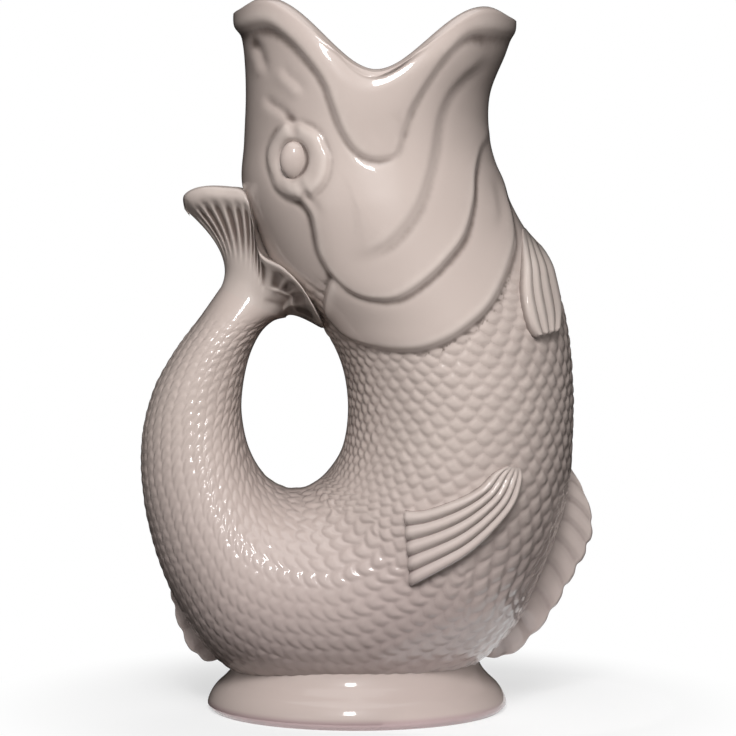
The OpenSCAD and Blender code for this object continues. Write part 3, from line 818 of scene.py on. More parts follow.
@dataclass
class Skin:
    """The whole fish skin with its relief, cut into the head, four lengths of belly, and the tail.

    Args:
        form: the swept form.
        spacing: distance between rows of points along the fish.
        around: points round a ring.
        inner_every: one inner row for so many outer ones.
        scales: the rows of scales.
        rim_rows: rows of points over the rim.
        rim_turn: length below the rim over which the skin leans in, in millimetres.
        rim_drop: how far it does so.
        rim_start: angle of the rim's ellipse at which it meets the skin.
        spout_turn: length below the rim over which the saddle leans in, in millimetres.
        spout_drop: how far it does so.
        face_to: station where the face's relief ends.
        scaled: stations between which the scales show.
        scale_floor: share of their height that the scales keep on the tail.
        cuts: stations where the belly is cut.
    """

    form: FishForm
    spacing: float = 0.66
    around: int = 456
    inner_every: int = 10
    scales: Scales = Scales()
    rim_rows: int = 9
    rim_turn: float = 7.5
    rim_drop: float = 1.4
    rim_start: float = 0.75
    spout_turn: float = 18.0
    spout_drop: float = 2.4
    face_to: float = 9.5
    scaled: tuple[float, float] = (5.8, 21.5)
    scale_floor: float = 0.6
    cuts: tuple[float, float, float] = (9.3, 11.7, 14.4)

    def __post_init__(self) -> None:
        """Lay out the rows: equal steps of the mean way along four lines of the skin."""
        fine = np.linspace(0.0, self.form.tail_end, 4401)
        lines = self.form.point(fine[:, None], np.radians([0.0, 60.0, 90.0, 180.0])[None, :])
        steps = np.linalg.norm(np.diff(lines, axis=0), axis=-1)
        way = np.concatenate([[0.0], np.cumsum(steps @ [0.3, 0.25, 0.35, 0.1])])
        count = int(way[-1] / self.spacing)
        self.t = np.interp(np.linspace(0, way[-1], count), way, fine)
        middle = np.concatenate([[0.0], np.cumsum(steps[:, 2])])
        self.along = np.interp(self.t, fine, middle)
        self.a = np.arange(self.around) * 2 * math.pi / self.around

    def face_relief(self, places: np.ndarray, t: np.ndarray) -> tuple[np.ndarray, np.ndarray]:
        """Heights of the lips, gill cover, cheek, eye ring and creases at places on the face.

        The highest plate shows, and the creases are added to it.

        Args:
            places: places in the side view in millimetres.
            t: their stations.

        Returns:
            The heights, and the signed distance into the gill cover.
        """
        form = self.form
        x = places[:, 0]
        gill_line, cheek_line = form.place(GILL_SHARES), form.place(CHEEK_SHARES)
        gill, into_gill = Plate(
            smooth_line(gill_line, 5, closed=True), height=1.8, edge=3.0, roll=0.25, fade=(3.4, 5.0)
        ).lift(places, t)
        cheek, _ = Plate(
            smooth_line(cheek_line, 5, closed=True), height=3.0, edge=3.4, roll=0.2, fade=(2.2, 4.6)
        ).lift(places, t)
        cheek = cheek * ramp(x, -34.0, 26.0)
        lips, _ = Plate(self.lips_outline(), height=1.0, edge=3.6, roll=0.25).lift(places, t)
        lips = lips * mix(1.5, 1.0, ramp(x, form.mouth_x - 15.0, 30.0))
        eye = smooth_line(np.array(EYE_LINE_MM[:8] + EYE_CUP_MM[::-1]), 4, closed=True)
        ring, _ = Plate(eye, height=0.75, edge=2.2, roll=0.35).lift(places, t)
        socket, _ = Plate(self.eye_outline(0.15), height=1.5, edge=0.7).lift(places, t)
        base = np.maximum(gill, cheek)
        height = np.maximum(base + ring, lips + base * 0.35) - socket
        height += Crease(self.eye_outline(0.5), 0.35, 1.2, (0.001, 0.001)).lift(places)
        height += Crease(np.array(GILL_CREASE_MM), 0.5, 1.8, (0.4, 0.4)).lift(places)
        # Each line's points, the steps between two of them, and what its crease is given
        lines = (
            (JAW_FOLD_MM, 3, 0.45, 2.3, (0.1, 0.25), 1.3, 15.0),
            (NOSTRIL_MM, 4, 0.7, 1.6, (0.12, 0.45)),
            (NOSTRIL_RIDGE_MM, 4, -0.4, 2.2, (0.25, 0.35)),
            (SNOUT_EDGE_MM, 4, 0.4, 1.6, (0.3, 0.3)),
            (SNOUT_SWELL_MM, 4, -0.5, 2.6, (0.3, 0.3)),
            (BROW_MM, 4, 0.65, 1.5, (0.2, 0.15), 0.5, 6.0),
            (EYE_LINE_MM, 4, 0.42, 1.6, (0.1, 0.3)),
            (EYE_TAIL_MM, 4, 0.42, 1.4, (0.1, 0.5)),
            (EYE_CUP_MM, 4, 0.42, 1.3, (0.15, 0.2)),
            (form.by_mouth(UPPER_LIP_SHARES[:-3]), 4, 0.35, 1.7, (0.15, 0.1)),
            (form.by_mouth(LOWER_LIP_SHARES[:-1]), 4, 0.3, 1.7, (0.2, 0.1)),
            (LIP_HOOK_MM, 4, 0.3, 1.7, (0.2, 0.6)),
            (gill_line[:14], 3, 0.3, 1.6, (0.1, 0.05)),
            (cheek_line[:12], 3, 0.25, 1.6, (0.2, 0.05)),
        )
        for line, steps, *rest in lines:
            height += Crease(smooth_line(line, steps), *rest).lift(places)
        return height, into_gill

    def lips_outline(self) -> np.ndarray:
        """Closed outline of both lips: along their lower edges, then back over the rim."""
        form = self.form
        upper = smooth_line(form.by_mouth(UPPER_LIP_SHARES[:-2] + ((0.19, 0.821),)), 6)
        lower = smooth_line(form.by_mouth(LOWER_LIP_SHARES[:-1]), 6)[::-1]
        reach = 0.65 * form.mouth_len
        left, right, top = form.mouth_x - reach, form.mouth_x + reach, form.jug_h + 10.0
        over = [[right, lower[-1, 1]], [right, top], [left, top], [left, upper[0, 1]]]
        return np.concatenate([[[left, upper[0, 1]]], upper, lower, over])

    def eye_outline(self, grow: float) -> np.ndarray:
        """Closed outline round the eyeball: an ellipse grown outwards."""
        turn = np.linspace(0, 2 * math.pi, 41)
        x, z = Eyeball.place(self.form)
        return np.column_stack([
            x + (Eyeball.width / 2 + grow) * np.cos(turn),
            z + (Eyeball.height / 2 + grow) * np.sin(turn),
        ])

    @staticmethod
    def mirrored(field: np.ndarray) -> np.ndarray:
        """Values round the whole ring from those over its first half and the two ends of it."""
        return np.concatenate([field, field[:, -2:0:-1]], axis=1)

    def face_part(self, base: np.ndarray) -> tuple[np.ndarray, np.ndarray]:
        """Relief of the face over half the skin, and how clear of the gill cover a point lies."""
        relief, clear = np.zeros(base.shape[:2]), np.ones(base.shape[:2])
        faced = self.t < self.face_to
        face = base[faced]
        stations = np.broadcast_to(self.t[faced, None], face.shape[:2]).ravel()
        height, into_gill = self.face_relief(face[..., [0, 2]].reshape(-1, 2), stations)
        relief[faced] = height.reshape(face.shape[:2])
        clear[faced] = ramp(-into_gill, 0.6, 1.6).reshape(face.shape[:2])
        return relief, clear

    def scale_part(self, base: np.ndarray, clear: np.ndarray) -> tuple[np.ndarray, np.ndarray]:
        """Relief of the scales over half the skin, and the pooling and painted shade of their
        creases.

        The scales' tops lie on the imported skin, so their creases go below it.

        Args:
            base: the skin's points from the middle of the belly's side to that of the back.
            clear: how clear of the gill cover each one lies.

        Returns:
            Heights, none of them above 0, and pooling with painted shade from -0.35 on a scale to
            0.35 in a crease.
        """
        ring_way = np.linalg.norm(np.diff(base, axis=1), axis=-1)
        edge = np.zeros((len(self.t), 1))
        way = np.concatenate([edge, np.cumsum(ring_way, axis=1)], axis=1)
        quarter = self.around // 4
        # Rows close up on the inside of the bend, and the scales get narrower as they do
        speed = np.linalg.norm(np.gradient(base, axis=0), axis=-1)
        shrink = np.clip(speed / speed[:, quarter:quarter + 1], 0.5, 1.15)
        t = self.t[:, None]
        shrink = mix(shrink, 1.0, ramp(t, 10.7, 1.0))
        between = (shrink[:, 1:] + shrink[:, :-1]) / 2
        across = np.concatenate([edge, np.cumsum(ring_way / between, axis=1)], axis=1)
        across = across - across[:, quarter:quarter + 1]
        scales, near_crease = self.scales.lift(self.t, self.along, across, speed)
        from_gap = way[:, -1:] - way
        # They fade out at both ends, inside the bend, and along the middle line under the belly
        under = ramp(t, 9.0, 0.7) * ramp(-t, -13.4, 0.7)
        shown = ramp(t, self.scaled[0], 0.5) * ramp(-t, -self.scaled[1], 1.3) * clear
        shown = shown * mix(1.0, ramp(from_gap, 2.5, 5.5), ramp(t, 6.8, 1.0))
        shown = shown * ramp(shrink, 0.3, 0.5) * mix(1.0, self.scale_floor, ramp(t, 11.5, 2.5))
        shown = shown * mix(1.0, ramp(way, 3.5, 4.0), under)
        # The second value darkens the creases between scales with pooled glaze and painted shade,
        # and makes the glaze paler on their tops
        return shown * (scales - self.scales.rise), shown * (0.7 * near_crease - 0.35)

    def lean(self, base: np.ndarray) -> np.ndarray:
        """How far the rows below the rim lean in, and the saddle more, by the way down to them."""
        down = np.linalg.norm(np.diff(base, axis=0), axis=-1)
        down = np.concatenate([np.zeros((1, self.around)), np.cumsum(down, axis=0)])
        near = 1 - np.clip(down / self.rim_turn, 0, 1)
        roll = 1 - np.clip(down / self.spout_turn, 0, 1)
        return self.rim_drop * near**2 + self.spout * roll**2

    def shape(self) -> None:
        """Work out the outer skin with its relief, its normals, and its pooling with painted shade
        by how deep its hollows are.
        """
        base = self.form.point(self.t[:, None], self.a[None, :])
        middle = self.form.axis_point(self.t)[:, None, :]
        normal = facing(grid_normals(base), base - middle)
        side = base[:, :self.around // 2 + 1]
        face, clear = self.face_part(side)
        scales, scaly = self.scale_part(side, clear)
        relief = soften(self.mirrored(face + scales), 1)
        scaly = self.mirrored(scaly)
        # Darker where the relief lies below its blurred self, as pooled glaze and painted shade in
        # the hollows; paler where it stands above, on the ridges
        pool = np.clip((soften(relief, 16) - soften(relief, 1)) / 0.5, -1, 1)
        self.pool = np.clip(mix(pool, scaly, np.abs(scaly).clip(0, 0.35) / 0.35), -1, 1)
        self.relief = relief - self.lean(base)
        self.outer = base + normal * self.relief[..., None]
        self.normal = facing(grid_normals(self.outer), normal)

    @property
    def spout(self) -> np.ndarray:
        """How far the rim leans in round the ring: the most at the saddle, nothing at the lips."""
        return self.spout_drop * np.sin(self.a)[None, :] ** 6

    def cut(self, name: str, first: float, last: float) -> bpy.types.Object:
        """Cut a length of the fish between two stations, as a closed wall.

        The outer rows run down, the inner rows run back up, and each row joins the next. At the
        mouth the two meet over a rounded rim, whose profile is half an ellipse.

        Args:
            name: the piece's name.
            first: its first station.
            last: its last station.

        Returns:
            The piece.
        """
        form = self.form
        lowest = int(np.argmin(np.abs(self.t - first)))
        highest = int(np.argmin(np.abs(self.t - last)))
        rows = self.outer[lowest:highest + 1]
        inner_t = np.unique(np.concatenate([
            self.t[lowest:highest:self.inner_every], self.t[highest:highest + 1]
        ]))
        at_rim = lowest == 0
        thick = np.full((len(inner_t), 1), form.wall)
        if at_rim:
            down = inner_t[:, None]
            thick = mix(form.wall, form.rim_t, ease(1 - down)) + self.spout * ease(1 - down / 3)
        inner = form.point(inner_t[:, None], self.a[None, :], grow=-thick)
        parts = [rows, inner[::-1]]
        if at_rim:
            parts.append(self.rim())
        count = [len(p) for p in parts]
        points = np.concatenate(parts)
        normals = np.zeros_like(points)
        normals[:count[0]] = self.normal[lowest:highest + 1]
        pool = np.zeros(points.shape[:2])
        pool[:count[0]] = self.pool[lowest:highest + 1]
        if at_rim:
            normals[:4] = 0
        faces = MeshPress.grid_faces(len(points), self.around, True)
        return MeshPress.build(name, points, faces, pool, normals)

    def rim(self) -> np.ndarray:
        """Rows over the rim, from the inner edge to the outer one.

        They follow an ellipse from half a turn down to a small angle, where its slope is about
        that of the skin. The share of the outer edge is (1 + cos) over its value there.
        """
        form = self.form
        turn = np.linspace(math.pi, self.rim_start, self.rim_rows + 2)[1:-1, None]
        share = (1 + np.cos(turn)) / (1 + math.cos(self.rim_start))
        grow = mix(-form.rim_t - self.spout, self.relief[0][None, :], share)
        rise = form.rim_round * 1.3 * (np.sin(turn) - math.sin(self.rim_start) * share)
        return form.point(0.0, self.a[None, :], grow=grow, rise=rise)

    def pieces(self) -> list[tuple[bpy.types.Object, str, tuple[str, ...]]]:
        """Build the six lengths, each with its slot and the nodes that it stands for."""
        form = self.form
        names = ("gill_cover", "cheek_plate", "eye_ring")
        plates = tuple(f"{name}_{side.tag}" for name in names for side in Side)
        head = self.cut("head", 0.0, form.neck_seam)
        cuts = (form.neck_seam, *self.cuts, form.tail_seam)
        belly = [
            (self.cut(f"belly_{name}", first, last), "body_glaze", ("body_shell",))
            for name, first, last in zip(("front", "low", "floor", "rear"), cuts[:-1], cuts[1:])
        ]
        tail = self.cut("tail", form.tail_seam, form.tail_end)
        face_nodes = ("head_shell", "upper_lip", "lower_lip") + plates
        return [(head, "face_glaze", face_nodes), *belly, (tail, "body_glaze", ("tail_tube",))]


@dataclass(frozen=True)
class Eyeball:
    """A domed eyeball seated on the cheek.

    Args:
        height: its height, in millimetres.
        width: its width.
        out: how far it stands out.
        at_shares: its middle, as shares of the jug's length and height.
        seat_station: station of the skin's point that it is seated on.
        seat_angle: angle of that point, in degrees.
        rows: rows of points from pole to pole.
        cols: points round it.
    """

    height: float = 12.4
    width: float = 9.8
    out: float = 3.3
    at_shares: tuple[float, float] = (0.363, 0.777)
    seat_station: float = 3.28
    seat_angle: float = -126.0
    rows: int = 28
    cols: int = 56

    @staticmethod
    def place(form: FishForm) -> np.ndarray:
        """Its middle in the side view."""
        return form.place(Eyeball.at_shares)

    def build(self, form: FishForm, side: Side) -> bpy.types.Object:
        """Build it as an ellipsoid whose middle lies on the skin.

        Points are the seat plus the half sizes times cos and sin of a latitude and a longitude,
        with a small ring closed at each pole.
        """
        seat = form.point(self.seat_station, np.radians(self.seat_angle))
        x, z = self.place(form)
        lat = np.linspace(-1.55, 1.55, self.rows)[:, None]
        lon = np.linspace(0, 2 * math.pi, self.cols, endpoint=False)[None, :]
        points = np.stack([
            x + self.width / 2 * np.cos(lat) * np.cos(lon),
            -side.value * seat[1] + self.out * np.cos(lat) * np.sin(lon),
            z + self.height / 2 * np.sin(lat) * np.ones_like(lon),
        ], -1)
        return MeshPress.loft(f"eye_{side.tag}", points)


@dataclass(frozen=True)
class TailFin:
    """Forked fan that flares from the end of the tail and grips the back of the head.

    Args:
        tip_shares: places of the free tip, with half widths in shares of the tip's.
        grip_shares: places on the head, with half widths in shares of half the belly's width.
        tip_half_w: half width of the free tip, in millimetres.
        grip: how far the edge stands proud of the head.
        ray_depth: depth of the grooves between the rays.
        rays: number of rays on each side, at the upper lobe's pitch.
        rays_to: share of the height at which the rays end.
        bead: height of the thick edge.
        bead_at: middle and width of its bell, as shares of the height.
        roll: how far the edge rounds over.
        valley: depth of the lower lobe's valley.
        valley_at: middle and width of its bell.
        fold: height of the lower lobe's fold.
        fold_at: middle and width of its bell.
        trough: depth of the trough between the two edges at the free tip.
        neck_share: half width at the bend, as a share of that of the root.
        pull_share: how far the bend lies along the stem, as a share of the way to the edge.
        lower_lobe_share: turn from which the bends of the lower lobe lie nearer.
        lower_pull_share: how much nearer, as a share.
        ray_end_share: share of the turn over which the rays start and end.
        fold_turn: turn at which the upper lobe meets the lower one.
        turns: points along a side of the edge.
        levels: rows of points from the stem to the edge.
        closing_rows: rows of points that close the fan.
    """

    tip_shares: tuple[tuple[float, float, float], ...] = (
        (0.103, 0.708, 0), (0.104, 0.728, 0.5), (0.142, 0.74, 0.85), (0.203, 0.74, 1.08)
    )
    grip_shares: tuple[tuple[float, float, float], ...] = (
        (0.245, 0.733, 0.22), (0.263, 0.697, 0.26), (0.281, 0.65, 0.27), (0.334, 0.63, 0.41),
        (0.373, 0.607, 0.51), (0.405, 0.576, 0.54), (0.424, 0.547, 0.34), (0.412, 0.542, 0),
    )
    tip_half_w: float = 11.0
    grip: float = 3.0
    ray_depth: float = 1.3
    rays: int = 20
    rays_to: float = 0.8
    bead: float = 1.3
    bead_at: tuple[float, float] = (0.92, 0.08)
    roll: float = 1.6
    valley: float = 1.1
    valley_at: tuple[float, float] = (0.16, 0.09)
    fold: float = 0.45
    fold_at: tuple[float, float] = (0.46, 0.035)
    trough: float = 3.0
    neck_share: float = 0.92
    pull_share: float = 0.42
    lower_lobe_share: float = 0.8
    lower_pull_share: float = 0.6
    ray_end_share: float = 0.33
    fold_turn: float = 0.56
    turns: int = 260
    levels: int = 52
    closing_rows: int = 30

    def edge(self, form: FishForm) -> np.ndarray:
        """Rows of x, z and half width along the edge, from the tip to the lower end."""
        tip, grip = np.array(self.tip_shares), np.array(self.grip_shares)
        half = grip[:, 2] * form.belly_w / 2 + self.grip * (grip[:, 2] > 0)
        return np.concatenate([
            np.column_stack([form.place(tip[:, :2]), tip[:, 2] * self.tip_half_w]),
            np.column_stack([form.place(grip[:, :2]), half]),
        ])

    def build(self, form: FishForm) -> bpy.types.Object:
        """Build the fan as loops from the stem to the edge, and a trough between its two sides.

        A point at height v runs along a quadratic curve: the root times (1 - v)^2, the bend
        times 2 v (1 - v), and the edge times v^2. The grooves are a cosine of the turn.
        """
        rows = self.edge(form)
        turn = (1 - np.cos(np.linspace(0, math.pi, self.turns + 2)[1:-1])) / 2
        turn = mix(turn, np.linspace(0, 1, self.turns + 2)[1:-1], 0.8)
        root = form.point(form.tail_end, math.pi * turn)
        edge = smooth_curve(rows, turn * (len(rows) - 1))
        rim = np.column_stack([edge[:, 0], np.maximum(edge[:, 2], 0), edge[:, 1]])
        stem = smooth_curve(form.stations, form.tail_end)
        along = np.array([stem[1] - stem[3], 0, stem[2] - stem[0]])
        along /= np.linalg.norm(along)
        pulled = np.where(turn > self.lower_lobe_share, self.lower_pull_share, 1.0)
        pulled = soften(pulled[:, None], 20)[:, 0] * self.pull_share
        bend = root - along * (np.linalg.norm(rim - root, axis=1) * pulled)[:, None]
        bend[:, 1] = root[:, 1] * self.neck_share
        v = np.linspace(0, 1, self.levels)[:, None, None]
        fan = root * (1 - v) ** 2 + bend * 2 * v * (1 - v) + rim * v**2
        v = v[..., 0]
        # The lower lobe's rays are wider
        count = self.rays * (turn - 0.4 * np.maximum(turn - self.fold_turn, 0))
        groove = np.abs(np.cos(math.pi * count))[None, :] ** 1.8
        ends = ease(np.sin(math.pi * turn) / self.ray_end_share)[None, :]
        lower = ramp(turn, self.fold_turn, 0.1)[None, :]
        # The upper lobe's grooves run to its back edge, and only its front end is bare
        bare = ease(turn / 0.1)[None, :] * ends
        grown = ramp(v, mix(0.3, 0.44, lower), mix(0.4, 0.15, lower))
        fade = grown * (1 - ramp(v, self.rays_to, 0.12))
        crest = bell(v, *self.bead_at)
        over = 1 - arc((1 - v) / 0.1)
        valley = lower * bell(v, *self.valley_at)
        fold = lower * bell(v, *self.fold_at)
        lift = self.bead * crest - self.roll * over - self.ray_depth * groove * fade
        lift += self.fold * fold - self.valley * valley
        fan[..., 1] += lift * ends
        # Painted shade: darker in the grooves, over the rayed middle and more on the lower lobe,
        # and a little at the root; paler along the fold and the bead
        shade = ramp(v, 0.1, 0.3) * (1 - ramp(v, self.rays_to, 0.1))
        pool = mix(1.1, 0.8, lower) * groove * fade + 0.3 * shade + 0.4 * lower * shade
        pool -= 0.2 * ease(v / 0.3) + 0.45 * fold + 0.15 * crest
        pool = pool * mix(bare, ends, lower)
        closing = self.closing(form, fan[-1], edge)
        near = np.concatenate([fan, closing])
        # The closing rows, in the trough between the two edges, are painted a little darker as
        # shade
        pool = np.concatenate([pool, np.full(closing.shape[:2], 0.2)])
        loops, pool = MeshPress.both_sides(near * [1, -1, 1], pool)
        return MeshPress.loft("tail_fin_fan", loops, pool, self.root_normals(form, turn, loops))

    def root_normals(self, form: FishForm, turn: np.ndarray, loops: np.ndarray) -> np.ndarray:
        """Normals that run on from the tail's skin over the first rows, and zero elsewhere."""
        stations = form.tail_end - np.array([0.02, 0.01, 0.0])[:, None]
        skin = form.point(stations, math.pi * turn)
        skin = np.concatenate([skin * [1, -1, 1], skin[:, ::-1]], axis=1)
        own = grid_normals(loops)
        root = grid_normals(skin)[-1]
        away = loops[0] - loops[0].mean(axis=0)
        own *= np.sign(np.sum(own[0] * away))
        root *= np.sign(np.sum(root * away))
        v = np.linspace(0, 1, self.levels)
        mixed = mix(root, own[:self.levels], ease(v / 0.25)[:, None, None])
        mixed /= np.linalg.norm(mixed, axis=-1, keepdims=True)
        normals = np.zeros_like(loops)
        normals[:self.levels] = mixed * (v < 0.3)[:, None, None]
        return normals

    def closing(self, form: FishForm, rim: np.ndarray, edge: np.ndarray) -> np.ndarray:
        """Rows that close the fan between its two edges.

        At the free tip they sink into a trough. On the head they lie inside its wall and go
        round its back, from the angle of the edge to half a turn.

        Args:
            form: the swept form.
            rim: the fan's last row of points.
            edge: rows of x, z and half width along it.

        Returns:
            The rows, from the edge inwards.
        """
        places = edge[:, :2]
        t, share = form.find(places, (4.0, 8.0))
        start = np.arccos(np.clip(share, -0.999, 0.999))
        heart = form.axis_point(np.array(form.tail_end))
        inwards = heart - np.column_stack([places[:, 0], np.zeros(len(places)), places[:, 1]])
        inwards /= np.linalg.norm(inwards, axis=1, keepdims=True)
        on_head = ease((np.linspace(0, 11, len(places)) - 3.6) / 0.8)[:, None]
        rows = []
        for w in np.linspace(0, 0.98, self.closing_rows + 1)[1:]:
            hollow = rim * [1, 1 - w, 1] + inwards * self.trough * math.sin(math.pi * w / 2)
            hug = form.point(t, mix(start, math.pi, w), grow=-0.4 * form.wall)
            rows.append(mix(hollow, hug, on_head * ease(w / 0.25)))
        return np.array(rows)


@dataclass(frozen=True)
class SideFin:
    """A fan of rays laid on the side of the belly, between two boundary lines in the side view.

    Args:
        name: the piece's name without its side.
        nodes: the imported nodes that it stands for, without their side.
        centre: its middle, as shares of the jug's length and height.
        size: its length and height in millimetres, that the boundaries' shares are of.
        upper: boundary from the root to the tips, on the upper or back side.
        lower: the other boundary from the root to the tips.
        rays: number of rays.
        thick: thickness between the rays, in millimetres.
        ray_t: height of the rays.
        scallop: how far the tips are cut back between two rays, as a share of the length.
        span: stations between which it lies.
        ray_power: power of the sine that shapes a ray.
        root_fade: share of the length over which the fin rises at its root.
        root_least: share of its height at the root.
        groove_share: share of the length over which the grooves deepen.
        edge_share: share of the way across over which an edge rounds off.
        tip_share: share of the length over which the tips round off.
        rows: rows of points from the root to the tips.
        cols: points across the fin.
    """

    name: str
    nodes: tuple[str, ...]
    centre: tuple[float, float]
    size: tuple[float, float]
    upper: tuple[tuple[float, float], ...]
    lower: tuple[tuple[float, float], ...]
    rays: int
    thick: float
    ray_t: float
    scallop: float
    span: tuple[float, float]
    ray_power: float = 0.9
    root_fade: float = 0.4
    root_least: float = 0.12
    groove_share: float = 0.18
    edge_share: float = 0.05
    tip_share: float = 0.07
    rows: int = 110
    cols: int = 150

    def build(self, form: FishForm, side: Side) -> bpy.types.Object:
        """Build it as loops across the fin, from the root to the tips.

        Across the fin a ray is the size of a sine to a power below one, which makes it round
        with a sharp groove beside it. The height eases up at the root and rounds off at the tips.
        """
        s = np.linspace(0, 1, self.rows)[:, None]
        q = (1 - np.cos(np.linspace(0, math.pi, self.cols)))[None, :] / 2
        q = mix(q, np.linspace(0, 1, self.cols)[None, :], 0.7)
        ray = np.abs(np.sin(math.pi * self.rays * q)) ** self.ray_power
        reach = s * (1 - self.scallop * (1 - ray) * ease((s - 0.5) / 0.5))
        bounds = [
            form.place(self.centre) + smooth_curve(np.array(b), reach * (len(b) - 1)) * self.size
            for b in (self.upper, self.lower)
        ]
        places = mix(bounds[0], bounds[1], q[..., None])
        skin, normal = form.on_side(places, self.span, side)
        edge = arc(np.minimum(q, 1 - q) / self.edge_share)
        root = mix(self.root_least, 1.0, ease(s / self.root_fade))
        tip = arc((1 - s) / self.tip_share)
        groove = ease(s / self.groove_share)
        height = (self.thick * edge + self.ray_t * ray * groove) * tip * root
        top = skin + normal * height[..., None]
        under = skin - normal * 0.3 * form.wall
        loops = np.concatenate([top, under[:, ::-1]], axis=1)
        # Painted shade: darker in the grooves between the rays and along the rounded tips, with
        # pooled glaze in the grooves; paler on the rays
        pool = ((1 - ray) ** 1.5 * 1.5 - 0.7) * groove + 0.9 * (1 - tip)
        pool = np.concatenate([pool, np.zeros_like(pool)], axis=1)
        return MeshPress.loft(f"{self.name}_{side.tag}", loops, pool)


@dataclass(frozen=True)
class KeelFin:
    """A thin fan along the outer line of the fish, with swept rays and a scalloped edge.

    Args:
        name: the piece's name.
        node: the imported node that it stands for.
        span: stations where it starts and ends.
        out: how far it stands out, in millimetres.
        shares: its height along the span, as shares of that.
        lean: how far its rays sweep, as a share of their height.
        rays: number of rays.
        root_t: thickness at the root, in millimetres.
        edge_t: thickness at the edge.
        scallop: how far the edge dips between two rays.
        seat_share: how deep the root lies in the wall, as a share of its thickness.
        look_ahead: step in stations that gives the line's direction.
        round_share: share of the height over which the edge rounds off.
        blunt: share of that which is cut off, so that the edge keeps a width.
        steps_in_ray: steps of the grid in a ray.
        levels: rows of points from the root to the edge.
    """

    name: str
    node: str
    span: tuple[float, float]
    out: float
    shares: tuple[float, ...]
    lean: float
    rays: int
    root_t: float = 9.0
    edge_t: float = 3.2
    scallop: float = 0.8
    seat_share: float = 0.6
    look_ahead: float = 0.05
    round_share: float = 0.07
    blunt: float = 0.015
    steps_in_ray: int = 22
    levels: int = 26

    def build(self, form: FishForm) -> bpy.types.Object:
        """Build it as loops over the fin: up its right side and down its left side.

        The height of the edge dips between two rays by a cosine, and the sides are grooved
        there by the same wave. The thickness eases from the root's to the edge's, then rounds.
        """
        root_in = form.wall * self.seat_share
        steps = self.rays * self.steps_in_ray
        u = np.linspace(0, 1, steps + 1)
        t = mix(self.span[0], self.span[1], u)
        s = smooth_curve(form.stations, t)
        ahead = smooth_curve(form.stations, t + self.look_ahead)
        forward = ahead[:, 2:4] - s[:, 2:4]
        forward /= np.linalg.norm(forward, axis=1, keepdims=True)
        outwards = np.column_stack([-forward[:, 1], forward[:, 0]])
        wave = np.abs(np.cos(math.pi * self.rays * u)) ** 4.0
        shares = smooth_curve(np.array(self.shares)[:, None], u * (len(self.shares) - 1))[:, 0]
        height = self.out * shares - self.scallop * wave
        v = np.sin(np.linspace(0, math.pi / 2, self.levels))[None, :, None]
        foot = s[:, None, 2:4] - outwards[:, None] * root_in
        way = outwards[:, None] + forward[:, None] * self.lean * v
        flat = foot + way * (height + root_in)[:, None, None] * v
        v = v[..., 0]
        grown = ease(v / 0.35) * (1 - ease((v - 0.9) / 0.1))
        half = (mix(self.root_t, self.edge_t, ease(v)) - self.scallop * wave[:, None] * grown) / 2
        half = half * arc(np.maximum((1 - v) / self.round_share, self.blunt))
        side = np.stack([flat[..., 0], -half, flat[..., 1]], -1)
        # Painted shade: darker in the grooves between the rays and near the root, where the fin
        # meets the body; paler between the grooves
        pool = (wave[:, None] * 0.9 - 0.45) * grown + 0.45 * (1 - ease(v / 0.4))
        return MeshPress.loft(self.name, *MeshPress.both_sides(side, pool))


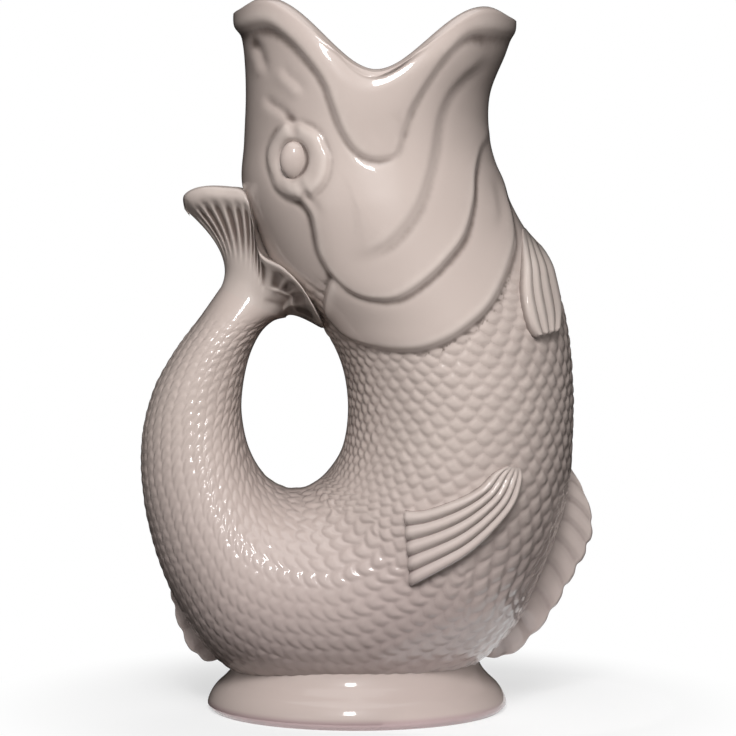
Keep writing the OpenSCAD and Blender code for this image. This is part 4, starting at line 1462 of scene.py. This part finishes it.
@dataclass(frozen=True)
class Foot:
    """Flared oval skirt that the jug stands on, with its top seated in the belly's wall.

    Args:
        length: its length over the flare, in millimetres.
        width: its width over the flare.
        height: height of its profile.
        ring: width of the flat ring that it stands on.
        round_r: rounding inside that ring.
        seat_in: how deep its top is sunk into the belly.
        profile: shares of the half sizes and of the height, from the table up.
        around: points round it.
        rows: rows of points up the outside.
        lining_from: share of the inside's height at which its rows start, over the ring.
        lining_rows: rows of points up the inside.
    """

    length: float = 102.0
    width: float = 90.0
    height: float = 24.0
    ring: float = 6.0
    round_r: float = 1.8
    seat_in: float = 2.2
    profile: tuple[tuple[float, float], ...] = (
        (0.972, 0), (1, 0.075), (0.985, 0.2), (0.945, 0.33), (0.885, 0.45), (0.835, 0.58),
        (0.805, 0.75), (0.79, 1),
    )
    around: int = 360
    rows: int = 64
    lining_from: float = 0.16
    lining_rows: int = 12

    def at(self, form: FishForm, u: np.ndarray, a: np.ndarray, inset: float) -> np.ndarray:
        """Points of the skirt at a share u of its profile, from the table up, and angles a."""
        share = smooth_curve(np.array(self.profile), u * (len(self.profile) - 1))
        return np.stack([
            form.foot_x + (share[..., 0] * self.length / 2 - inset) * np.cos(a),
            (share[..., 0] * self.width / 2 - inset) * np.sin(a),
            share[..., 1] * self.height,
        ], -1)

    def seat(self, form: FishForm, a: np.ndarray, inset: float, sunk: float) -> np.ndarray:
        """Share of the profile at which the skirt has sunk into the belly.

        A point is that deep where its share across the ring and its y over the half width, both
        taken on a ring that is smaller by that depth, have squares that add up to less than one.
        """
        u = np.linspace(0.05, 1, 191)[:, None]
        points = self.at(form, u + np.zeros_like(a), a + np.zeros_like(u), inset)
        t, share = form.find(points[..., [0, 2]], (9.0, 15.6))
        s = smooth_curve(form.stations, t)
        reach = np.linalg.norm(s[..., 2:4] - s[..., 0:2], axis=-1) / 2
        along, out = share * reach / (reach - sunk), points[..., 1] / (s[..., 4] - sunk)
        deep = along**2 + out**2 < 1
        first = np.where(deep.any(axis=0), deep.argmax(axis=0), len(u) - 1)
        return soften(u[first], 3)[:, 0]

    def build(self, form: FishForm) -> bpy.types.Object:
        """Build it as loops: down the outside, over the ground ring, and up the inside."""
        a = np.linspace(0, 2 * math.pi, self.around, endpoint=False)
        hollow = self.ring - self.round_r
        outside = self.seat(form, a, 0.0, self.seat_in)
        inside = self.seat(form, a, hollow, 0.5 * self.seat_in)
        down = np.linspace(1, 0, self.rows)[:, None] ** 1.2
        wall = self.at(form, down * outside, a + np.zeros_like(down), 0.0)
        ground = self.at(form, np.zeros_like(a), a, self.ring)[None]
        up = np.linspace(self.lining_from, 1, self.lining_rows)[:, None]
        lining = self.at(form, up * inside, a + np.zeros_like(up), hollow)
        loops = np.concatenate([wall, ground, lining])
        faces = MeshPress.grid_faces(len(loops), self.around, True)
        return MeshPress.build("foot_skirt", loops, faces)


@dataclass(frozen=True)
class Glaze:
    """A glossy glaze that is paler where it runs thin, and darker where it pools and where shade is
    painted into the creases.

    Args:
        name: the material's name.
        thin: linear colour on ridges.
        body: linear colour of an even coat.
        deep: linear colour in creases, of pooled glaze and painted shade.
        tint: linear colour of the mauve wash.
        tint_from: height in metres at which the wash begins, going down.
        tint_most: strength of the wash at the table.
        rough: roughness of the glassy coat.
        line: linear colour of the thin line at the bottom edge.
        line_top: height in metres of the line's top.
        noises: scale and detail of the cloudy noise, of the specks and of the broad one.
        pooled: pooling and painted shade between which the glaze goes from its even colour to the
            deep one.
        worn: the same, with the sign turned, towards the thin colour.
    """

    name: str
    thin: tuple[float, float, float] = (0.59, 0.508, 0.463)
    body: tuple[float, float, float] = (0.475, 0.398, 0.362)
    deep: tuple[float, float, float] = (0.13, 0.098, 0.085)
    tint: tuple[float, float, float] = (0.36, 0.27, 0.275)
    tint_from: float = 0.12
    tint_most: float = 0.5
    rough: float = 0.06
    line: tuple[float, float, float] = (0.30, 0.19, 0.21)
    line_top: float = 0.0042
    noises: tuple[tuple[float, float], ...] = ((26.0, 4.0), (420.0, 3.0), (9.0, 2.0))
    pooled: tuple[float, float] = (0.12, 1.05)
    worn: tuple[float, float] = (0.02, 0.9)

    def make(self) -> bpy.types.Material:
        """Build the glaze: colour by pooling and painted shade, mottle and wash under a clear coat.
        """
        nodes = Shader(self.name)
        place = nodes.output("ShaderNodeTexCoord", "Object")
        depth = nodes.output("ShaderNodeAttribute", "Fac", attribute_name="pool")
        split = nodes.add("ShaderNodeSeparateXYZ", Vector=place)
        height = Socket(nodes, split.outputs["Z"])
        cloud, speck, broad = (
            nodes.output("ShaderNodeTexNoise", "Fac", Vector=place, Scale=scale, Detail=detail)
            for scale, detail in self.noises
        )
        # The pooling attribute carries pooled glaze and painted shade: high values go towards the
        # deep colour, low ones towards the thin colour
        run = depth + (cloud - 0.5) * 0.5 + (speck - 0.5) * 0.25
        pooled, worn = run.smooth(*self.pooled), (run * -1.0).smooth(*self.worn) * 0.85
        colour = nodes.blend(nodes.rgb(self.body), nodes.rgb(self.deep), pooled)
        colour = nodes.blend(colour, nodes.rgb(self.thin), worn)
        wash = (self.tint_from - height).smooth(0.0, self.tint_from) * self.tint_most
        wash = (wash + (broad - 0.5) * 0.5).held() * (0.6 + cloud * 0.4)
        colour = nodes.blend(colour, nodes.rgb(self.tint), wash)
        edge = (self.line_top - height).smooth(0.0, 0.0022) * 0.6
        colour = nodes.blend(colour, nodes.rgb(self.line), edge)
        bump = nodes.output(
            "ShaderNodeBump", "Normal", Height=cloud * 0.6 + speck * 0.12, Strength=0.12,
            Distance=0.002,
        )
        nodes.surface(
            {"Base Color": colour, "Normal": bump, "Roughness": 0.34 + speck * 0.12},
            {"Coat Weight": 1.0, "Coat Roughness": self.rough, "Coat IOR": 1.5, "IOR": 1.5,
             "Specular IOR Level": 0.5},
        )
        return nodes.material


class Socket:
    """An output of a shader node that can be reckoned with."""

    def __init__(self, shader: "Shader", output: bpy.types.NodeSocket) -> None:
        """Wrap an output of a node in that shader."""
        self.shader = shader
        self.output = output

    def _with(self, operation: str, other: "Socket | float") -> "Socket":
        """The result of one sum with another socket or a number."""
        node = self.shader.add("ShaderNodeMath", operation=operation)
        for slot, value in zip(node.inputs, (self, other)):
            self.shader.join(value, slot)
        return Socket(self.shader, node.outputs[0])

    def __add__(self, other: "Socket | float") -> "Socket":
        """Sum."""
        return self._with("ADD", other)

    __radd__ = __add__

    def __sub__(self, other: "Socket | float") -> "Socket":
        """Difference."""
        return self._with("SUBTRACT", other)

    def __rsub__(self, other: "Socket | float") -> "Socket":
        """Difference from a number."""
        return self * -1.0 + other

    def __mul__(self, other: "Socket | float") -> "Socket":
        """Product."""
        return self._with("MULTIPLY", other)

    __rmul__ = __mul__

    def held(self) -> "Socket":
        """The value held between 0 and 1."""
        return self._with("MAXIMUM", 0.0)._with("MINIMUM", 1.0)

    def smooth(self, low: float, high: float) -> "Socket":
        """Smooth step from 0 at the low value to 1 at the high one."""
        node = self.shader.add("ShaderNodeMapRange", interpolation_type="SMOOTHSTEP", Value=self)
        node.inputs["From Min"].default_value = low
        node.inputs["From Max"].default_value = high
        return Socket(self.shader, node.outputs[0])


class Shader:
    """The node tree of a material or a world, built node by node."""

    def __init__(self, name: str, world: bpy.types.World | None = None) -> None:
        """Start an empty tree in the world, or else in a new material."""
        self.material = world or bpy.data.materials.new(name)
        self.material.use_nodes = True
        self.tree = self.material.node_tree
        self.tree.nodes.clear()

    def join(self, value: "Socket | float | tuple", slot: bpy.types.NodeSocket) -> None:
        """Feed an input from a socket, or set it."""
        if isinstance(value, Socket):
            self.tree.links.new(value.output, slot)
        else:
            slot.default_value = value

    def add(self, kind: str, **given: object) -> bpy.types.Node:
        """Add a node. A name that is one of its inputs feeds it, and any other sets the node."""
        node = self.tree.nodes.new(kind)
        for name, value in given.items():
            if name in node.inputs:
                self.join(value, node.inputs[name])
            else:
                setattr(node, name, value)
        return node

    def output(self, kind: str, name: str, **given: object) -> Socket:
        """Add a node and give its named output."""
        return Socket(self, self.add(kind, **given).outputs[name])

    def rgb(self, colour: tuple[float, float, float]) -> Socket:
        """A plain colour."""
        node = self.add("ShaderNodeRGB")
        node.outputs[0].default_value = (*colour, 1.0)
        return Socket(self, node.outputs[0])

    def blend(self, a: Socket, b: Socket, share: Socket | float) -> Socket:
        """Blend colour a into b by a share."""
        node = self.add("ShaderNodeMix", data_type="RGBA")
        self.join(share, node.inputs[0])
        self.join(a, node.inputs[6])
        self.join(b, node.inputs[7])
        return Socket(self, node.outputs[2])

    def seen_directly(self) -> Socket:
        """1 for what the camera sees, itself or in gloss or glass, and 0 for light."""
        path = self.add("ShaderNodeLightPath")
        kinds = ("Camera", "Glossy", "Transmission")
        rays = [Socket(self, path.outputs[f"Is {kind} Ray"]) for kind in kinds]
        return (rays[0] + rays[1] + rays[2]).held()

    def finish(self, share: Socket, first: bpy.types.Node, second: bpy.types.Node) -> None:
        """End in two shaders mixed by a share."""
        blend = self.add("ShaderNodeMixShader")
        self.join(share, blend.inputs[0])
        self.tree.links.new(first.outputs[0], blend.inputs[1])
        self.tree.links.new(second.outputs[0], blend.inputs[2])
        kind = "World" if isinstance(self.material, bpy.types.World) else "Material"
        out = self.add(f"ShaderNodeOutput{kind}")
        self.tree.links.new(blend.outputs[0], out.inputs[0])

    def surface(self, fed: dict[str, Socket], fixed: dict[str, float]) -> None:
        """End in a Principled surface."""
        shader = self.add("ShaderNodeBsdfPrincipled")
        for name, value in {**fed, **fixed}.items():
            self.join(value, shader.inputs[name])
        out = self.add("ShaderNodeOutputMaterial")
        self.tree.links.new(shader.outputs[0], out.inputs[0])


@dataclass(frozen=True)
class Lamp:
    """An area light, placed in metres and aimed at a point. Only a seen one shows in the glaze."""

    name: str
    place: tuple[float, float, float]
    aim: tuple[float, float, float]
    size: tuple[float, float]
    power: float
    seen: bool = False

    def hang(self) -> None:
        """Add it to the scene."""
        light = bpy.data.lights.new(self.name, "AREA")
        light.shape = "RECTANGLE"
        light.size, light.size_y = self.size
        light.energy = self.power
        lamp = put(self.name, light)
        lamp.visible_glossy = self.seen
        aim(lamp, self.place, self.aim)


@dataclass(frozen=True)
class Studio:
    """Pale floor, soft lamps, a dark drape and the camera at the photograph's angle.

    Args:
        aim: the point that the camera looks at, in metres.
        camera_at: place of the camera.
        lens: its focal length in millimetres.
        world: strength of the world's light.
        lamps: the lamps.
        floor_half: half the floor's length.
        floor_at: middle of the drape's opening.
        floor_r: radius of that opening.
        drape_r: radius of the drape.
        drape_h: height of the drape.
    """

    aim: tuple[float, float, float] = (0.0, 0.0, 0.1161)
    camera_at: tuple[float, float, float] = (0.0, -1.0, 0.185)
    lens: float = 144.4
    world: float = 0.16
    lamps: tuple[Lamp, ...] = (
        Lamp("key", (0.0, -1.03, 0.83), (0, 0, 0.11), (0.5, 0.5), 13.0),
        Lamp("window", (-0.10, -0.95, 0.85), (0, 0, 0.12), (0.15, 0.22), 3.0, seen=True),
        Lamp("left", (-0.78, -0.93, 0.43), (0, 0, 0.11), (0.5, 0.5), 4.0),
        Lamp("behind", (0.35, 0.95, 0.6), (0, 0, 0.12), (0.5, 0.5), 3.0),
        Lamp("right", (0.78, -0.93, 0.43), (0, 0, 0.11), (0.5, 0.5), 3.9),
    )
    floor_half: float = 4.0
    floor_at: tuple[float, float] = (0.0426, 0.0043)
    floor_r: float = 0.062
    drape_r: float = 1.6
    drape_h: float = 2.4

    def floor(self) -> None:
        """Lay the floor: pale, with the object's shadow, and plain white where it runs away."""
        corners = [(x * self.floor_half, y * self.floor_half, 0) for x, y in UNIT_SQUARE]
        floor = self.sheet("floor", corners)
        nodes = Shader("floor_white")
        where = nodes.output("ShaderNodeTexCoord", "Object")
        place = nodes.add("ShaderNodeSeparateXYZ", Vector=where)
        x, y = (Socket(nodes, place.outputs[k]) for k in ("X", "Y"))
        away = (x * x + y * y).smooth(0.003, 0.02) * 0.38 + 0.62
        plain = nodes.add("ShaderNodeBsdfDiffuse", Color=(0.9, 0.9, 0.9, 1.0))
        white = nodes.add("ShaderNodeEmission", Color=(1.0, 1.0, 1.0, 1.0), Strength=1.0)
        nodes.finish(nodes.seen_directly() * away, plain, white)
        floor.data.materials.append(nodes.material)

    def hang_drape(self) -> None:
        """Stand a dark drape round it all, from the foot outwards and up, that the glaze shows."""
        nodes = Shader("drape_black")
        nodes.surface({}, {
            "Base Color": (0.02, 0.017, 0.015, 1.0), "Roughness": 1.0, "Specular IOR Level": 0.0,
        })
        turn = np.radians(np.arange(0, 360, 5))
        ring = np.column_stack([np.cos(turn), np.sin(turn), np.zeros(len(turn))])
        far = ring * self.drape_r
        near = ring * self.floor_r + [*self.floor_at, 0.002]
        corners = np.concatenate([near, far, far + [0, 0, self.drape_h]])
        faces = [tuple(f) for f in MeshPress.grid_faces(3, len(ring), False)]
        drape = self.sheet("drape", [tuple(c) for c in corners], faces)
        drape.visible_camera = False
        drape.visible_shadow = False
        drape.data.materials.append(nodes.material)

    @staticmethod
    def sheet(
        name: str, corners: list[tuple[float, float, float]],
        faces: tuple[tuple[int, ...], ...] = ((0, 1, 2, 3),),
    ) -> bpy.types.Object:
        """Make a sheet of the studio from its corners in metres."""
        mesh = bpy.data.meshes.new(name)
        mesh.from_pydata(corners, [], faces)
        sheet = put(name, mesh)
        return sheet

    def sky(self) -> None:
        """Set the world: white where it is seen, dimmer as a light."""
        world = bpy.data.worlds.new("studio")
        bpy.context.scene.world = world
        nodes = Shader("studio", world)
        light = nodes.add("ShaderNodeBackground", Color=(1.0, 1.0, 1.0, 1.0), Strength=self.world)
        white = nodes.add("ShaderNodeBackground", Color=(1.0, 1.0, 1.0, 1.0), Strength=1.0)
        nodes.finish(nodes.seen_directly(), light, white)

    def camera(self) -> None:
        """Stand the camera a metre away, a little above the middle of the jug."""
        lens = bpy.data.cameras.new("camera")
        lens.lens = self.lens
        lens.sensor_width = 36.0
        holder = put("camera", lens)
        aim(holder, self.camera_at, self.aim)
        bpy.context.scene.camera = holder
        bpy.context.scene.view_settings.view_transform = "Standard"

    def set_up(self) -> None:
        """Set up floor, drape, world, lamps and camera."""
        self.floor()
        self.hang_drape()
        self.sky()
        for lamp in self.lamps:
            lamp.hang()
        self.camera()


class Jug:
    """Puts the pieces on the frame, each with its body, nodes, slot and glaze."""

    def __init__(self) -> None:
        """Make the glazes for the record's slots."""
        self.form = FishForm()
        self.glazes = {
            "body_glaze": Glaze("body_glaze").make(),
            "face_glaze": Glaze("face_glaze").make(),
            "fin_glaze": Glaze("fin_glaze", body=(0.465, 0.397, 0.362)).make(),
            "foot_glaze": Glaze("foot_glaze", tint_most=0.15).make(),
            "eye_glaze": Glaze("eye_glaze").make(),
        }

    def wear(self, piece: bpy.types.Object, slot: str, nodes: tuple[str, ...]) -> None:
        """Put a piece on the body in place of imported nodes, with the glaze of its slot."""
        piece.data.materials.append(self.glazes[slot])
        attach(piece, BODY)
        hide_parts(*nodes)
        LOG.info("%s: %d faces", piece.name, len(piece.data.polygons))

    def build(self) -> None:
        """Build every piece."""
        form = self.form
        skin = Skin(form)
        skin.shape()
        for piece, slot, nodes in skin.pieces():
            self.wear(piece, slot, nodes)
        self.wear(TailFin().build(form), "fin_glaze", ("tail_fin",))
        self.wear(Foot().build(form), "foot_glaze", ("foot",))
        for keel in KEEL_FINS:
            self.wear(keel.build(form), "fin_glaze", (keel.node,))
        for side in Side:
            for fin in SIDE_FINS:
                nodes = tuple(f"{n}_{side.tag}" for n in fin.nodes)
                self.wear(fin.build(form, side), "fin_glaze", nodes)
            self.wear(Eyeball().build(form, side), "eye_glaze", (f"eyeball_{side.tag}",))


KEEL_FINS = (
    KeelFin(
        "belly_fin_fan", "belly_fin", (9.5, 12.25), 11.5,
        (-0.15, 0.55, 0.95, 1, 0.95, 0.88, 0.78, 0.62, 0.4, -0.15), 0.55, 9,
    ),
    KeelFin(
        "rear_fin_fan", "rear_fin", (15.02, 16.2), 5.0,
        (-0.3, 0.7, 1, 0.95, 0.75, 0.5, 0.2, -0.3), -0.2, 4,
    ),
)
SIDE_FINS = (
    SideFin(
        name="pectoral_fan", nodes=("pectoral_fin",), centre=(0.735, 0.28), size=(39.0, 40.0),
        upper=(
            (0.375, 0.51), (0.256, 0.465), (0.13, 0.35), (-0.036, 0.26), (-0.318, 0.16),
            (-0.49, 0.15),
        ),
        lower=(
            (0.48, 0.49), (0.485, 0.405), (0.41, 0.21), (0.256, 0.01), (0.038, -0.195),
            (-0.177, -0.33), (-0.45, -0.48),
        ),
        rays=5, thick=1.9, ray_t=1.1, scallop=0.015, span=(8.5, 12.0),
    ),
    SideFin(
        name="pelvic_fan", nodes=("pelvic_fin",), centre=(0.9075, 0.607), size=(13.0, 35.5),
        upper=((-0.35, 0.5), (-0.45, 0.22), (-0.49, -0.1), (-0.35, -0.36), (-0.16, -0.49)),
        lower=((0.0, 0.5), (0.25, 0.23), (0.41, 0), (0.5, -0.23), (0.415, -0.45)),
        rays=4, thick=2.0, ray_t=0.8, scallop=0.05, span=(5.0, 8.6), cols=90,
    ),
)


def main() -> None:
    """Build the jug and the studio."""
    logging.basicConfig(level=logging.INFO)
    Jug().build()
    Studio().set_up()
    bpy.context.view_layer.update()


if __name__ == "__main__":
    main()
